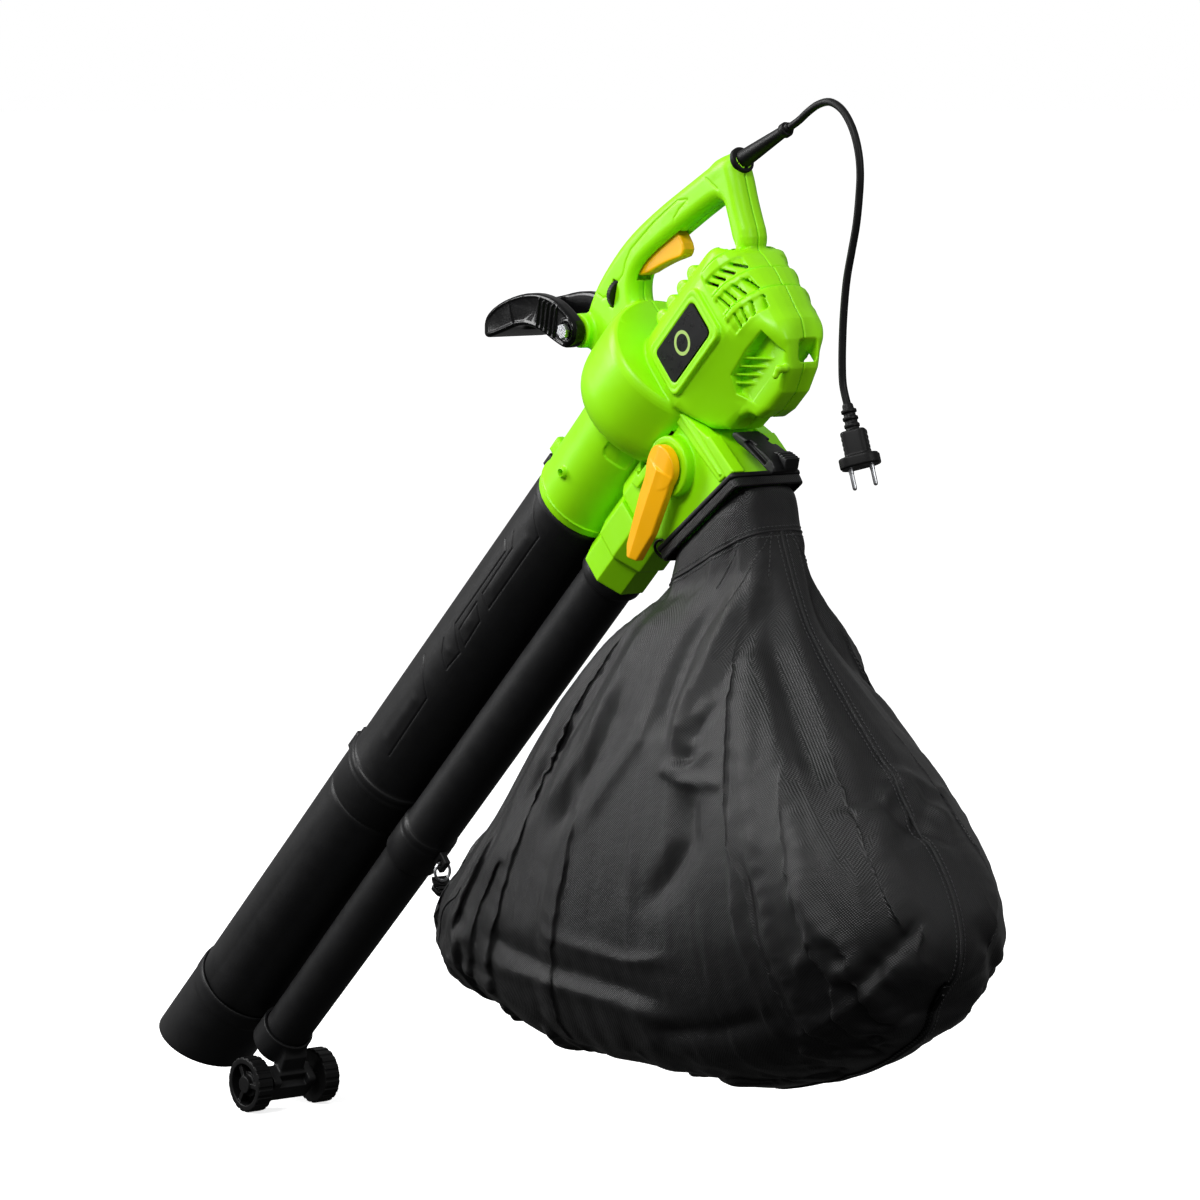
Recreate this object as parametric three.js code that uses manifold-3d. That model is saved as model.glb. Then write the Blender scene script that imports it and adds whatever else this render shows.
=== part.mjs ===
// Electric garden blower and vacuum with a collecting bag. Millimetres, +Z up, +X towards the suction mouth.
import * as THREE from "three";
import { mergeVertices } from "three/addons/utils/BufferGeometryUtils.js";
import Module from "manifold-3d";

const wasm = await Module();
wasm.setup();

// Driving dimensions. The tool frame has x forward along the suction tube from the front of the fan drum,
// y to the left and z square to the tube. The tool is then turned nose-down and moved to the grip centre.
const SLOPE = THREE.MathUtils.degToRad(43.3);
const GRIP = [-150, 0, 100];
const GAP = 0.4;
const SEAM = 0.15;
const DRUM_R = 73;
const DRUM_REAR = -77;
const SLEEVE_END = 129;
const BARREL_Z = -12;
const BARREL_R = 46;
const SHAFT_Z = -6;
const SIDE_Y = 44;
const BLOW_Z = -78.6;
const JOINT_X = 560;
const TUBE_END = 919;
const WHEEL = { x: 916, z: -113, r: 28, inner: 32, outer: 50 };
const BAIL_PIVOT = [3, 101];
const LEVER_PIVOT = [-31, -90];
const PORT = { x: -29, z: -146, length: 120, width: 66, tilt: THREE.MathUtils.degToRad(-7.8) };
const CORD_R = 3.5;

const paint = (color, roughness, metalness = 0) => ({ color, roughness, metalness });
const GREEN = paint(0x8fe600, 0.42);
const BLACK = paint(0x17181a, 0.55);
const GLOSS = paint(0x0c0d0f, 0.22);
const ORANGE = paint(0xffa200, 0.4);
const CLOTH = paint(0x1a1b1e, 0.85);
const RUBBER = paint(0x111214, 0.75);
const STEEL = paint(0xb9bdc2, 0.3, 1);
const COPPER = paint(0xb0632c, 0.4, 1);
const LAMINATE = paint(0x6a6d72, 0.5, 0.9);
const BOARD = paint(0x1f5a3a, 0.6);

const root = new THREE.Group();
const tool = new THREE.Group();
tool.rotation.y = SLOPE;
const gripInWorld = new THREE.Vector3(...GRIP).applyAxisAngle(new THREE.Vector3(0, 1, 0), SLOPE);
tool.position.copy(gripInWorld).negate();
root.add(tool);

// A closed solid from a three.js geometry, faces outwards.
function solid(geometry) {
  const plain = geometry.index ? geometry.toNonIndexed() : geometry.clone();
  plain.deleteAttribute("normal");
  plain.deleteAttribute("uv");
  const merged = mergeVertices(plain, 1e-4);
  const points = merged.attributes.position.array;
  const faces = [];
  const index = merged.index.array;
  for (let i = 0; i < index.length; i += 3) {
    const [a, b, c] = [index[i], index[i + 1], index[i + 2]];
    if (a !== b && b !== c && c !== a) faces.push(a, b, c);
  }
  const build = (order) => {
    const mesh = new wasm.Mesh({ numProp: 3, vertProperties: points, triVerts: new Uint32Array(order) });
    return new wasm.Manifold(mesh);
  };
  const made = build(faces);
  if (made.volume() >= 0) return made;
  const turned = [];
  for (let i = 0; i < faces.length; i += 3) turned.push(faces[i], faces[i + 2], faces[i + 1]);
  return build(turned);
}

function geometryOf(body) {
  const mesh = body.getMesh();
  const geometry = new THREE.BufferGeometry();
  const points = new Float32Array(mesh.numVert * 3);
  for (let i = 0; i < mesh.numVert; i++) {
    points.set(mesh.vertProperties.subarray(i * mesh.numProp, i * mesh.numProp + 3), i * 3);
  }
  geometry.setAttribute("position", new THREE.BufferAttribute(points, 3));
  geometry.setIndex(new THREE.BufferAttribute(new Uint32Array(mesh.triVerts), 1));
  return geometry;
}

function add(name, body, look, group = tool) {
  const material = new THREE.MeshStandardMaterial({ ...look, flatShading: true });
  const mesh = new THREE.Mesh(geometryOf(body), material);
  mesh.name = name;
  group.add(mesh);
}

const join = (...bodies) => bodies.reduce((sum, body) => sum.add(body));
const cut = (body, ...tools) => tools.reduce((rest, tool) => rest.subtract(tool), body);

function box(x0, x1, y0, y1, z0, z1) {
  const geometry = new THREE.BoxGeometry(x1 - x0, y1 - y0, z1 - z0);
  geometry.translate((x0 + x1) / 2, (y0 + y1) / 2, (z0 + z1) / 2);
  return solid(geometry);
}

// A body turned about the x axis. The profile holds [x, radius] pairs.
function turned(profile, z = 0, segments = 36, y = 0) {
  const points = profile.map(([x, r]) => new THREE.Vector2(r, x));
  const geometry = new THREE.LatheGeometry(points, segments);
  geometry.rotateZ(-Math.PI / 2);
  geometry.translate(0, y, z);
  return solid(geometry);
}

const disc = (x0, x1, r, z = 0, segments = 36, y = 0) =>
  turned([[x0, 0], [x0, r], [x1, r], [x1, 0]], z, segments, y);

function ring(x0, x1, inner, outer, z = 0, segments = 36, y = 0) {
  const profile = [[x0, inner], [x0, outer], [x1, outer], [x1, inner], [x0, inner]];
  return turned(profile, z, segments, y);
}

// A cylinder along y.
function pin(x, z, r, y0, y1, segments = 20) {
  const geometry = new THREE.CylinderGeometry(r, r, y1 - y0, segments);
  geometry.translate(x, (y0 + y1) / 2, z);
  return solid(geometry);
}

// A cylinder from one point to another, with a radius at each end.
function rod(from, to, r0, r1 = r0, segments = 16) {
  const a = new THREE.Vector3(...from);
  const b = new THREE.Vector3(...to);
  const geometry = new THREE.CylinderGeometry(r1, r0, a.distanceTo(b), segments);
  const along = b.clone().sub(a).normalize();
  geometry.applyQuaternion(new THREE.Quaternion().setFromUnitVectors(new THREE.Vector3(0, 1, 0), along));
  geometry.translate(...a.add(b).multiplyScalar(0.5).toArray());
  return solid(geometry);
}

// A side view outline of [x, z] points made as thick as y0 to y1, with its long edges rounded.
function side(outline, y0, y1, round = 0, steps = 2) {
  const shape = new THREE.Shape(outline.map(([x, z]) => new THREE.Vector2(x, z)));
  const geometry = new THREE.ExtrudeGeometry(shape, {
    depth: y1 - y0 - 2 * round,
    bevelEnabled: round > 0,
    bevelThickness: round,
    bevelSize: round,
    bevelOffset: -round,
    bevelSegments: steps,
  });
  geometry.rotateX(Math.PI / 2);
  geometry.translate(0, y1 - round, 0);
  return solid(geometry);
}

// A plan view outline of [x, y] points made as tall as z0 to z1.
function plan(outline, z0, z1) {
  const shape = new THREE.Shape(outline.map(([x, y]) => new THREE.Vector2(x, y)));
  const geometry = new THREE.ExtrudeGeometry(shape, { depth: z1 - z0, bevelEnabled: false });
  geometry.translate(0, 0, z0);
  return solid(geometry);
}

// A cross section outline of [y, z] points made as long as x0 to x1.
function section(outline, x0, x1) {
  const shape = new THREE.Shape(outline.map(([y, z]) => new THREE.Vector2(y, z)));
  const geometry = new THREE.ExtrudeGeometry(shape, { depth: x1 - x0, bevelEnabled: false });
  geometry.rotateZ(Math.PI / 2);
  geometry.rotateY(Math.PI / 2);
  geometry.translate(x0, 0, 0);
  return solid(geometry);
}

function arc(cx, cy, r, from, to, steps) {
  const points = [];
  for (let i = 0; i <= steps; i++) {
    const angle = THREE.MathUtils.degToRad(from + ((to - from) * i) / steps);
    points.push([cx + r * Math.cos(angle), cy + r * Math.sin(angle)]);
  }
  return points;
}

function rounded(x0, x1, y0, y1, r, steps = 4) {
  return [
    ...arc(x1 - r, y1 - r, r, 0, 90, steps),
    ...arc(x0 + r, y1 - r, r, 90, 180, steps),
    ...arc(x0 + r, y0 + r, r, 180, 270, steps),
    ...arc(x1 - r, y0 + r, r, 270, 360, steps),
  ];
}

function turn(body, degrees, about, axis = [0, 1, 0]) {
  const matrix = new THREE.Matrix4().makeTranslation(...about);
  const angle = THREE.MathUtils.degToRad(degrees);
  matrix.multiply(new THREE.Matrix4().makeRotationAxis(new THREE.Vector3(...axis), angle));
  matrix.multiply(new THREE.Matrix4().makeTranslation(...about.map((v) => -v)));
  return body.transform(matrix.elements);
}

// ---- Housing: two halves that meet on the middle plane ----

function drumAndSleeve() {
  return turned([
    [SLEEVE_END, 0], [SLEEVE_END, 47.3], [18, 48.6], [12, 50], [9, 58], [4, 64.5], [-4, 69.5],
    [-15, 72.3], [-26, DRUM_R], [-66, DRUM_R], [-73, 71], [DRUM_REAR, 67], [DRUM_REAR, 0],
  ], 0, 40);
}

function motorBody() {
  const profile = side([
    [-70, 34], [-172, 34], [-188, 31], [-206, 20], [-219, 2], [-225, -16], [-228, -36], [-228, -60],
    [-224, -76], [-215, -88], [-188, -122], [-137, -126], [-127, -108], [-90, -104], [-73, -58], [-70, -30],
  ], -60, 60);
  const rear = [...arc(-182, 0, 46, 90, 270, 12), [-60, -54], [-60, 54]];
  const top = arc(0, BARREL_Z, BARREL_R, 0, 180, 16);
  const skirt = [[-SIDE_Y, -58], [-22, -104], [-16, -130], [16, -130], [22, -104], [SIDE_Y, -58]];
  const across = section([...top, ...skirt], -260, -60);
  const body = profile.intersect(plan(rear, -135, 40)).intersect(across);
  const pocket = [[-134, -92], [-146, -79], [-176, -77], [-240, -77], [-240, -140], [-134, -140]];
  const eye = join(box(-240, -186, -17, 5, -113, -99), box(-197, -184, -60, 5, -113, -99));
  return cut(body, side(pocket, 20, 60), side(pocket, -60, -20), eye);
}

// Steps that run round the back of the motor body, and the cooling ridges on its top.
function motorRidges() {
  const ridges = [];
  for (const [z, reach] of [[0, 34], [-26, 45], [-48, 47.4], [-70, 44]]) {
    const outline = [...arc(-182, 0, reach, 90, 270, 10), [-181, -reach + 2], [-181, reach - 2]];
    ridges.push(plan(outline, z - 1.6, z + 1.6));
  }
  for (let i = 0; i < 4; i++) ridges.push(pin(-98 - 20 * i, 29, 8, -24, 24, 10));
  return ridges;
}

// Fins that stand in the two pockets beside the strap eye.
function pocketFins() {
  return [0, 1, 2].map((i) => box(-184 + 6 * i, -133, -29 + 2 * i, 29 - 2 * i, -88 - 9 * i, -85.4 - 9 * i));
}

function rearHandle() {
  return side([
    [15, 60], [15, 90], [8, 103], [-6, 114], [-28, 122], [-56, 126], [-100, 126], [-150, 116], [-200, 102],
    [-234, 92], [-250, 86], [-257, 76], [-254, 64], [-242, 38], [-229, 4], [-206, 4], [-208, 16],
    [-219, 40], [-227, 60], [-200, 69], [-150, 82], [-104, 93], [-84, 91], [-73, 83], [-66, 70], [-66, 30],
    [-30, 30],
  ], -15.5, 15.5, 6, 3);
}

function housing() {
  const latchLug = box(110, SLEEVE_END - 1, -9, 9, 40, 63);
  const pad = side(rounded(-173, -88, -54, -1, 8), -49, 49);
  const bailBoss = pin(BAIL_PIVOT[0], BAIL_PIVOT[1], 16, -23.4, 23.4, 24);
  const body = join(motorBody(), ...motorRidges(), ...pocketFins());
  const outer = join(drumAndSleeve(), body, rearHandle(), latchLug, pad, bailBoss);
  const labelSeat = side(rounded(-166, -95, -47, -9, 5), 47, 60);
  const fanRoom = turned([[-2, 0], [-2, 60], [-8, 67], [-20, 69.5], [-57, 69.5], [-57, 0]], 0, 36);
  const suctionBore = disc(-10, SLEEVE_END + 1, 44.4, 0, 36);
  const bearingSeat = disc(-70, -50, 11.3, SHAFT_Z, 24);
  const motorRoom = join(disc(-214, -62, 40, BARREL_Z, 32), box(-206, -62.1, -36, 36, -56, -14));
  const motorCorner = plan([...arc(-182, 0, 40, 90, 270, 10), [-60, -42], [-60, 42]], -90, 40);
  const airOutlet = box(-50, -8, -34, 34, -90, -45);
  const triggerRoom = side([
    [-77, 92], [-78, 106], [-108, 119], [-140, 111], [-158, 98], [-158, 60], [-146, 50], [-93, 80],
  ], -8, 8);
  const dialRoom = turn(disc(-3.2, 3.2, 17, 0, 28), -56.8, [0, 0, 0]).translate(-52, 8, 98);
  const boardRoom = box(-40, -14, -11, 11, 78, 92);
  const boltHole = pin(BAIL_PIVOT[0], BAIL_PIVOT[1], 3.4, -30, 30, 16);
  const glandSeat = rod([-228, 0, 83], [-262, 0, 73], 7.2);
  const wireway = rod([-240, 0, 81], [-150, 0, 103], 4.2);
  const ventSlots = [];
  for (let row = 0; row < 3; row++) {
    for (let i = 0; i < 4; i++) {
      const slot = box(-1.6, 1.6, -60, 60, -9, 9);
      ventSlots.push(turn(slot, 14, [0, 0, 0]).translate(-180 - 9 * i - 2 * row, 0, -14 - 22 * row));
    }
  }
  const controlRooms = [triggerRoom, dialRoom, boardRoom, glandSeat, wireway];
  const airRooms = [fanRoom, suctionBore, bearingSeat, motorRoom.intersect(motorCorner), airOutlet];
  return cut(outer, labelSeat, boltHole, ...controlRooms, ...airRooms, ...ventSlots);
}

// The handle and post screws enter from the right side and cross the middle plane.
const SCREWS = { screw_sleeve: [85, 0], screw_handle: [-184, 90], screw_post: [-226, 30] };

function screwHoles() {
  const [x, z] = SCREWS.screw_sleeve;
  const holes = [pin(x, z, 4, 44, 60, 16)];
  for (const name of ["screw_handle", "screw_post"]) {
    const [sx, sz] = SCREWS[name];
    holes.push(pin(sx, sz, 4.2, -30, -9, 14), pin(sx, sz, 2.3, -11, 11, 10));
  }
  return join(...holes);
}

function makeHousing() {
  const shell = housing().subtract(screwHoles());
  const half = (sign) => {
    const [y0, y1] = sign > 0 ? [SEAM, 80] : [-80, -SEAM];
    return shell.intersect(box(-300, 200, y0, y1, -180, 160));
  };
  add("housing_left", largest(half(1)), GREEN);
  add("housing_right", largest(half(-1)), GREEN);
  add("label_plate", side(rounded(-165.6, -95.4, -46.6, -9.4, 4.6), 47.3, 49.6), GLOSS);
  for (const name of ["screw_handle", "screw_post"]) {
    const [x, z] = SCREWS[name];
    add(name, join(pin(x, z, 3.8, -12, -9.4, 12), pin(x, z, 2, -11, 8, 10)), STEEL);
  }
}

function largest(body) {
  return body.decompose().reduce((best, piece) => (piece.volume() > best.volume() ? piece : best));
}

// ---- Outlet housing with the selector, and the blow socket ----

function portTurned(body) {
  return turn(body, THREE.MathUtils.radToDeg(PORT.tilt), [PORT.x, 0, PORT.z]);
}

function outletHousing() {
  const drum = disc(DRUM_REAR - 3, 12.5, DRUM_R + GAP, 0, 40);
  const sleeve = disc(12, 140, 50.6, 0, 40);
  const slab = side([
    [-74, -50], [-78, -62], [-89, -153], [30, -137], [30, -126], [50, -110], [50, -45], [0, -40],
  ], -33, 33, 4, 2);
  const waist = plan([
    [-110, -50], [-4, -50], [16, -35], [60, -30], [60, 30], [16, 35], [-4, 50], [-110, 50],
  ], -180, 0);
  const shoulder = [[-33, -60], [-22, -44], [22, -44], [33, -60], [33, -180], [-33, -180]];
  const outer = slab.intersect(waist).intersect(section(shoulder, -120, 80));
  const flange = side([[-70, -58], [-79, -62], [-88.5, -144], [-70, -141], [-60, -66]], -36.5, 36.5);
  const boss = pin(LEVER_PIVOT[0], LEVER_PIVOT[1], 28, 33, 43.4, 28);
  const ductSide = side([
    [-66, -40], [-72, -66], [-83, -146], [-83, -170], [25, -170], [25, -130], [40, -110], [60, -110], [60, -40],
  ], -30, 30);
  const ductPlan = plan([
    [-110, -50], [-4, -50], [16, -31], [60, -26], [60, 26], [16, 31], [-4, 50], [-110, 50],
  ], -180, 0);
  const ductRoof = [[-30, -64], [-18, -48], [18, -48], [30, -64], [30, -180], [-30, -180]];
  const duct = ductSide.intersect(ductPlan).intersect(section(ductRoof, -120, 80));
  const ductFloor = box(40, 60, -45, 45, -200, -20);
  const bore = disc(20, 60, 26, BLOW_Z, 28);
  const shaftHole = pin(LEVER_PIVOT[0], LEVER_PIVOT[1], 5.2, 28, 50, 16);
  const housingSide = side([
    [-69.5, -20], [-69.5, -30], [-72.4, -58.2], [-89.6, -104.6], [-127, -108.6], [-160, -128], [-160, -20],
  ], -60, 60);
  return cut(join(outer, flange, boss), drum, sleeve, cut(duct, ductFloor), bore, shaftHole, housingSide);
}

function blowSocket() {
  const octagon = (r) => arc(0, 0, r, 22.5, 382.5, 8).slice(0, 8);
  const outer = section(octagon(37).map(([y, z]) => [y, z + BLOW_Z]), 50.4, 96);
  const nose = turned([[90, 0], [90, 33.5], [133, 32], [133, 0]], BLOW_Z, 8);
  const sleeve = disc(12, 200, 49.2, 0, 40);
  const upperFlat = box(40, 140, -40, 40, -49.4, -30);
  return cut(join(outer, nose), disc(40, 140, 27.2, BLOW_Z, 28), sleeve, upperFlat);
}

function selector() {
  const [x, z] = LEVER_PIVOT;
  const outline = [[0, 14], [34, 13], [86, 8], [95, 2], [92, -12], [60, -19], [20, -20], [0, -19]];
  const blade = side(outline, 45, 56, 2.5, 2);
  const lever = join(turn(blade, 20, [0, 0, 0]).translate(x, 0, z), pin(x, z, 20.5, 44, 53.5, 28));
  add("selector_lever", cut(lever, pin(x, z, 5.1, 40, 50, 16)), ORANGE);
  const shaft = pin(x, z, 4.8, -28, 49.6, 16);
  const flap = side([[6, 3.2], [44, 2], [44, -1], [6, -3.2]], -26, 26);
  const barrel = pin(0, 0, 7.4, -28, 28, 18);
  const flapBody = turn(join(flap, barrel), 20, [0, 0, 0]).translate(x, 0, z);
  add("diverter_flap", cut(flapBody, pin(x, z, 5.1, -40, 40, 16)), BLACK);
  add("selector_shaft", shaft, STEEL);
}

// ---- Suction and blow tubes ----

function suctionTubes() {
  const upper = turned([
    [82, 40.6], [82, 43.7], [130, 43.9], [130, 45.2], [534, 46.6], [535, 49.3], [547, 49.3], [549, 48.4],
    [JOINT_X + 24, 48.6], [JOINT_X + 24, 47.2], [546, 46.9], [543, 42.8], [130, 41.2], [82, 40.6],
  ], 0, 36);
  const lug = box(131, 146, -8, 8, 44, 60);
  const jointLug = box(548, 583, -8, 8, 47.6, 61);
  add("suction_tube_upper", join(upper, lug, jointLug), BLACK);
  const lower = turned([
    [548, 43.2], [548, 46.5], [JOINT_X + 25, 46.7], [JOINT_X + 26, 48], [TUBE_END - 22, 48.6],
    [TUBE_END - 21, 47.4], [TUBE_END + 8, 47.4], [TUBE_END + 8, 44.6], [590, 43.6], [548, 43.2],
  ], 0, 36);
  const button = box(770, 785, -8, 8, 47, 53);
  add("suction_tube_lower", join(lower, button), BLACK);
  const nozzle = turned([
    [TUBE_END - 20, 47.8], [TUBE_END - 20, 50.4], [TUBE_END, 50.4], [1040, 50.4], [1040, 47.4],
    [TUBE_END + 12, 47.4], [TUBE_END + 10, 47.8], [TUBE_END - 20, 47.8],
  ], 0, 36);
  const mouth = side([[1021.5, 50], [984.5, -50], [975, -70], [1100, -70], [1100, 70], [1028.9, 70]], -60, 60);
  const bump = box(966, 980, -8, 8, 49.4, 54);
  add("suction_nozzle", cut(join(nozzle, bump), mouth), BLACK);
}

function blowTubes() {
  const upper = turned([
    [86, 23.6], [86, 26.8], [133.4, 26.8], [133.4, 30.5], [145, 30.5], [147, 26.6], [533, 27], [534, 28.6],
    [578, 28.6], [578, 26.4], [548, 26.2], [545, 24], [86, 23.6],
  ], BLOW_Z, 28);
  const hookLug = cut(box(536, 552, -3.4, 3.4, -121, -106), pin(544, -114.5, 3.2, -10, 10, 12));
  add("blow_tube_upper", join(upper, hookLug), BLACK);
  const lower = turned([
    [549, 22], [549, 25.9], [579, 25.9], [580, 25.2], [878, 23.4], [905, 23.2], [905, 20.4], [549, 22],
  ], BLOW_Z, 28);
  add("blow_tube_lower", lower, BLACK);
}

function wheels() {
  const { x, z, r, inner, outer } = WHEEL;
  const clamp = ring(872, 900, 23.9, 27, BLOW_Z, 28);
  const block = side(rounded(x - 17, x + 17, z - 15, z + 10, 4), -26, 26);
  const web = side([[874, -98], [899, -98], [912, -106], [906, -118], [884, -110]], -14, 14);
  const tube = disc(860, 905.8, 23.9, BLOW_Z, 28);
  add("wheel_bracket", cut(join(clamp, block, web), pin(x, z, 4.3, -30, 30, 16), tube), BLACK);
  add("wheel_axle", pin(x, z, 4, -inner - 16, inner + 16, 16), STEEL);
  for (const [name, sign] of [["wheel_left", 1], ["wheel_right", -1]]) {
    const span = (a, b) => (sign > 0 ? [a, b] : [-b, -a]);
    const tyre = cut(pin(x, z, r, ...span(inner, outer), 40), pin(x, z, 21, ...span(inner + 6, outer + 1), 28));
    const hub = pin(x, z, 9, ...span(inner + 2, outer), 20);
    const bar = box(0, 23, ...span(inner + 3, outer - 3), -3, 3);
    const spokes = [0, 1, 2].map((i) => turn(bar, 120 * i, [0, 0, 0]).translate(x, 0, z));
    const rim = join(tyre, hub, ...spokes);
    add(name, cut(rim, pin(x, z, 4.25, ...span(inner - 1, outer - 1.6), 16)), RUBBER);
  }
}

// ---- Front handle ----

function frontHandle() {
  const [px, pz] = BAIL_PIVOT;
  const outline = [
    [-12, -8], [-13, 6], [-2, 15], [22, 30], [58, 35], [104, 24], [132, 6], [138, -5], [131, -13],
    [104, -6], [72, 4], [44, 0], [18, -12], [2, -16],
  ];
  const bail = side(outline, -38, 38, 4, 2);
  const inside = plan(rounded(-60, 92, -24.2, 24.2, 14), -60, 80);
  const round = plan(rounded(-40, 142, -38, 38, 22, 5), -60, 80);
  const bore = pin(0, 0, 3.4, -50, 50, 16);
  const level = cut(bail.intersect(round), inside, bore);
  add("front_handle", turn(level, -43.3, [0, 0, 0]).translate(px, 0, pz), GLOSS);
  add("handle_bolt", join(pin(px, pz, 3, -44, 39, 12), pin(px, pz, 7, 38.4, 43, 6)), STEEL);
  add("handle_nut", cut(pin(px, pz, 6.5, -43, -38.4, 6), pin(px, pz, 3.2, -50, -30, 12)), STEEL);
}

// ---- Controls ----

function controls() {
  const trigger = side([
    [-84, 99], [-81, 94], [-92, 86], [-122, 75], [-142, 63], [-151, 67], [-153, 84], [-146, 98], [-92, 106],
  ], -7, 7, 1.6, 2);
  add("trigger", trigger, ORANGE);
  add("switch_body", box(-128, -108, -7.6, 7.6, 107.6, 112.8), BLACK);
  add("speed_dial", turn(disc(-2.4, 2.4, 16, 0, 28), -56.8, [0, 0, 0]).translate(-52, 8, 98), BLACK);
  add("speed_board", box(-38, -16, -10, 10, 82, 84), BOARD);
}

// ---- Motor and impeller, on one shaft ----

function blades(count, r0, r1, x0, x1, lean, thick) {
  const list = [];
  for (let i = 0; i < count; i++) {
    const blade = turn(box(x0, x1, -thick / 2, thick / 2, r0, r1), lean, [0, 0, r0], [1, 0, 0]);
    list.push(turn(blade, (360 * i) / count, [0, 0, 0], [1, 0, 0]));
  }
  return join(...list).translate(0, 0, SHAFT_Z);
}

function motor() {
  const z = SHAFT_Z;
  const bore = disc(-260, 0, 5.3, z, 16);
  const fins = blades(8, 14, 54, -50, -18, 24, 2.4);
  const wheel = join(disc(-52, -49, 58, z, 36), disc(-52, -30, 13, z, 24), fins);
  add("impeller", cut(wheel, bore), ORANGE);
  add("impeller_nut", cut(disc(-29.6, -22, 9, z, 6), bore), STEEL);
  add("motor_shaft", disc(-212, -20, 5, z, 16), STEEL);
  add("bearing_front", ring(-61, -54, 5.4, 11, z, 24), STEEL);
  const fan = join(disc(-84, -82, 27, z, 28), disc(-90, -80, 9, z, 20), blades(8, 10, 25, -88, -83, 0, 2));
  add("cooling_fan", cut(fan, bore), BLACK);
  add("armature", cut(disc(-158, -108, 20, z, 28), bore), LAMINATE);
  add("commutator", cut(disc(-188, -172, 11, z, 24), bore), COPPER);
  add("stator", ring(-156, -110, 21.5, 32, z, 28), LAMINATE);
  add("field_winding", ring(-168, -156.6, 22, 30, z, 28), COPPER);
  add("bearing_rear", ring(-205, -197, 5.4, 11, z, 24), STEEL);
  add("brush_left", box(-184, -176, 11.8, 28, z - 4, z + 4), BLACK);
  add("brush_right", box(-184, -176, -28, -11.8, z - 4, z + 4), BLACK);
}

// ---- Cable: strain relief, cord and plug ----

const toWorld = (x, y, z) => tool.localToWorld(new THREE.Vector3(x, y, z));
tool.updateMatrixWorld(true);

const CORD = [
  [-176, 0, 92.5], [-189, 0, 100.5], [-203, 0, 107], [-219, 0, 109], [-235, 0, 102], [-248, 0, 87],
  [-256, 0, 68], [-259, 0, 48], [-257.5, 0, 25], [-254, 0, 2], [-248, 0, -21], [-242, 0, -44],
  [-238.5, 0, -68], [-236.5, 0, -94], [-236, 0, -121], [-237.5, 0, -139], [-243.5, 0, -156],
].map((p) => new THREE.Vector3(...p));

function cable() {
  const sleeve = rod([-230, 0, 82.4], [-262, 0, 73], 6.8);
  const taper = rod([-258.6, 0, 74.6], [-322, 0, 53.2], 8, 5);
  const collar = rod([-320, 0, 54], [-329, 0, 50.6], 6.4);
  const start = toWorld(-329, 0, 50.6);
  const points = [start.clone().add(new THREE.Vector3(-0.5, 0, 0.2)), ...CORD];
  add("strain_relief", cut(join(sleeve, taper, collar), rod([-220, 0, 85.6], [-244, 0, 78.4], 3.9)), RUBBER);
  const path = new THREE.CatmullRomCurve3(points);
  const around = arc(0, 0, CORD_R, 0, 360, 8).slice(0, 8);
  const profile = new THREE.Shape(around.map(([x, y]) => new THREE.Vector2(x, y)));
  const geometry = new THREE.ExtrudeGeometry(profile, { steps: 42, extrudePath: path, bevelEnabled: false });
  add("cord", solid(geometry), RUBBER, root);
}

function plug() {
  const end = CORD[CORD.length - 1];
  const along = end.clone().sub(CORD[CORD.length - 2]).normalize();
  const place = (body) => {
    const z = along.clone();
    const across = new THREE.Vector3(-0.75, -0.6, 0);
    const y = across.sub(z.clone().multiplyScalar(across.dot(z))).normalize();
    const x = y.clone().cross(z);
    const matrix = new THREE.Matrix4().makeBasis(x, y, z).setPosition(end);
    return body.transform(matrix.elements);
  };
  const post = (y, r0, r1, z0, z1) => rod([0, y, z0], [0, y, z1], r0, r1);
  const boot = join(post(0, 5, 6.4, 0.4, 26), ...[4, 11, 18].map((z) => post(0, 7, 7, z, z + 3)));
  const grip = plan(rounded(-11, 11, -12, 12, 6), 24, 46);
  const face = plan(rounded(-14, 14, -18.5, 18.5, 13), 46, 56);
  const notches = [1, -1].map((s) => rod([0, s * 22, 44], [0, s * 22, 58], 5));
  const holes = [9.5, -9.5].map((y) => post(y, 2.7, 2.7, 51, 64));
  add("plug_body", place(cut(join(boot, grip, face), ...notches, ...holes)), RUBBER, root);
  add("plug_pin_a", place(post(9.5, 2.4, 2.2, 51.4, 75)), STEEL, root);
  add("plug_pin_b", place(post(-9.5, 2.4, 2.2, 51.4, 75)), STEEL, root);
}

// ---- Bag ----

// Rings from the neck down: [centre x, height, half length, half width, rise towards the back].
const BAG_RINGS = [
  [-84, -266, 50, 35, 0.71], [-88, -278, 56, 38, 0.7], [-88, -318, 70, 43, 0.35], [-76, -362, 110, 78, 0.1],
  [-76, -420, 166, 106, 0.04], [-86, -480, 226, 124, 0], [-91, -545, 286, 136, 0], [-74, -605, 330, 140, 0],
  [-42, -655, 344, 138, 0], [-26, -702, 304, 128, 0], [-28, -738, 230, 108, 0], [-18, -762, 150, 74, 0],
];

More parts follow.
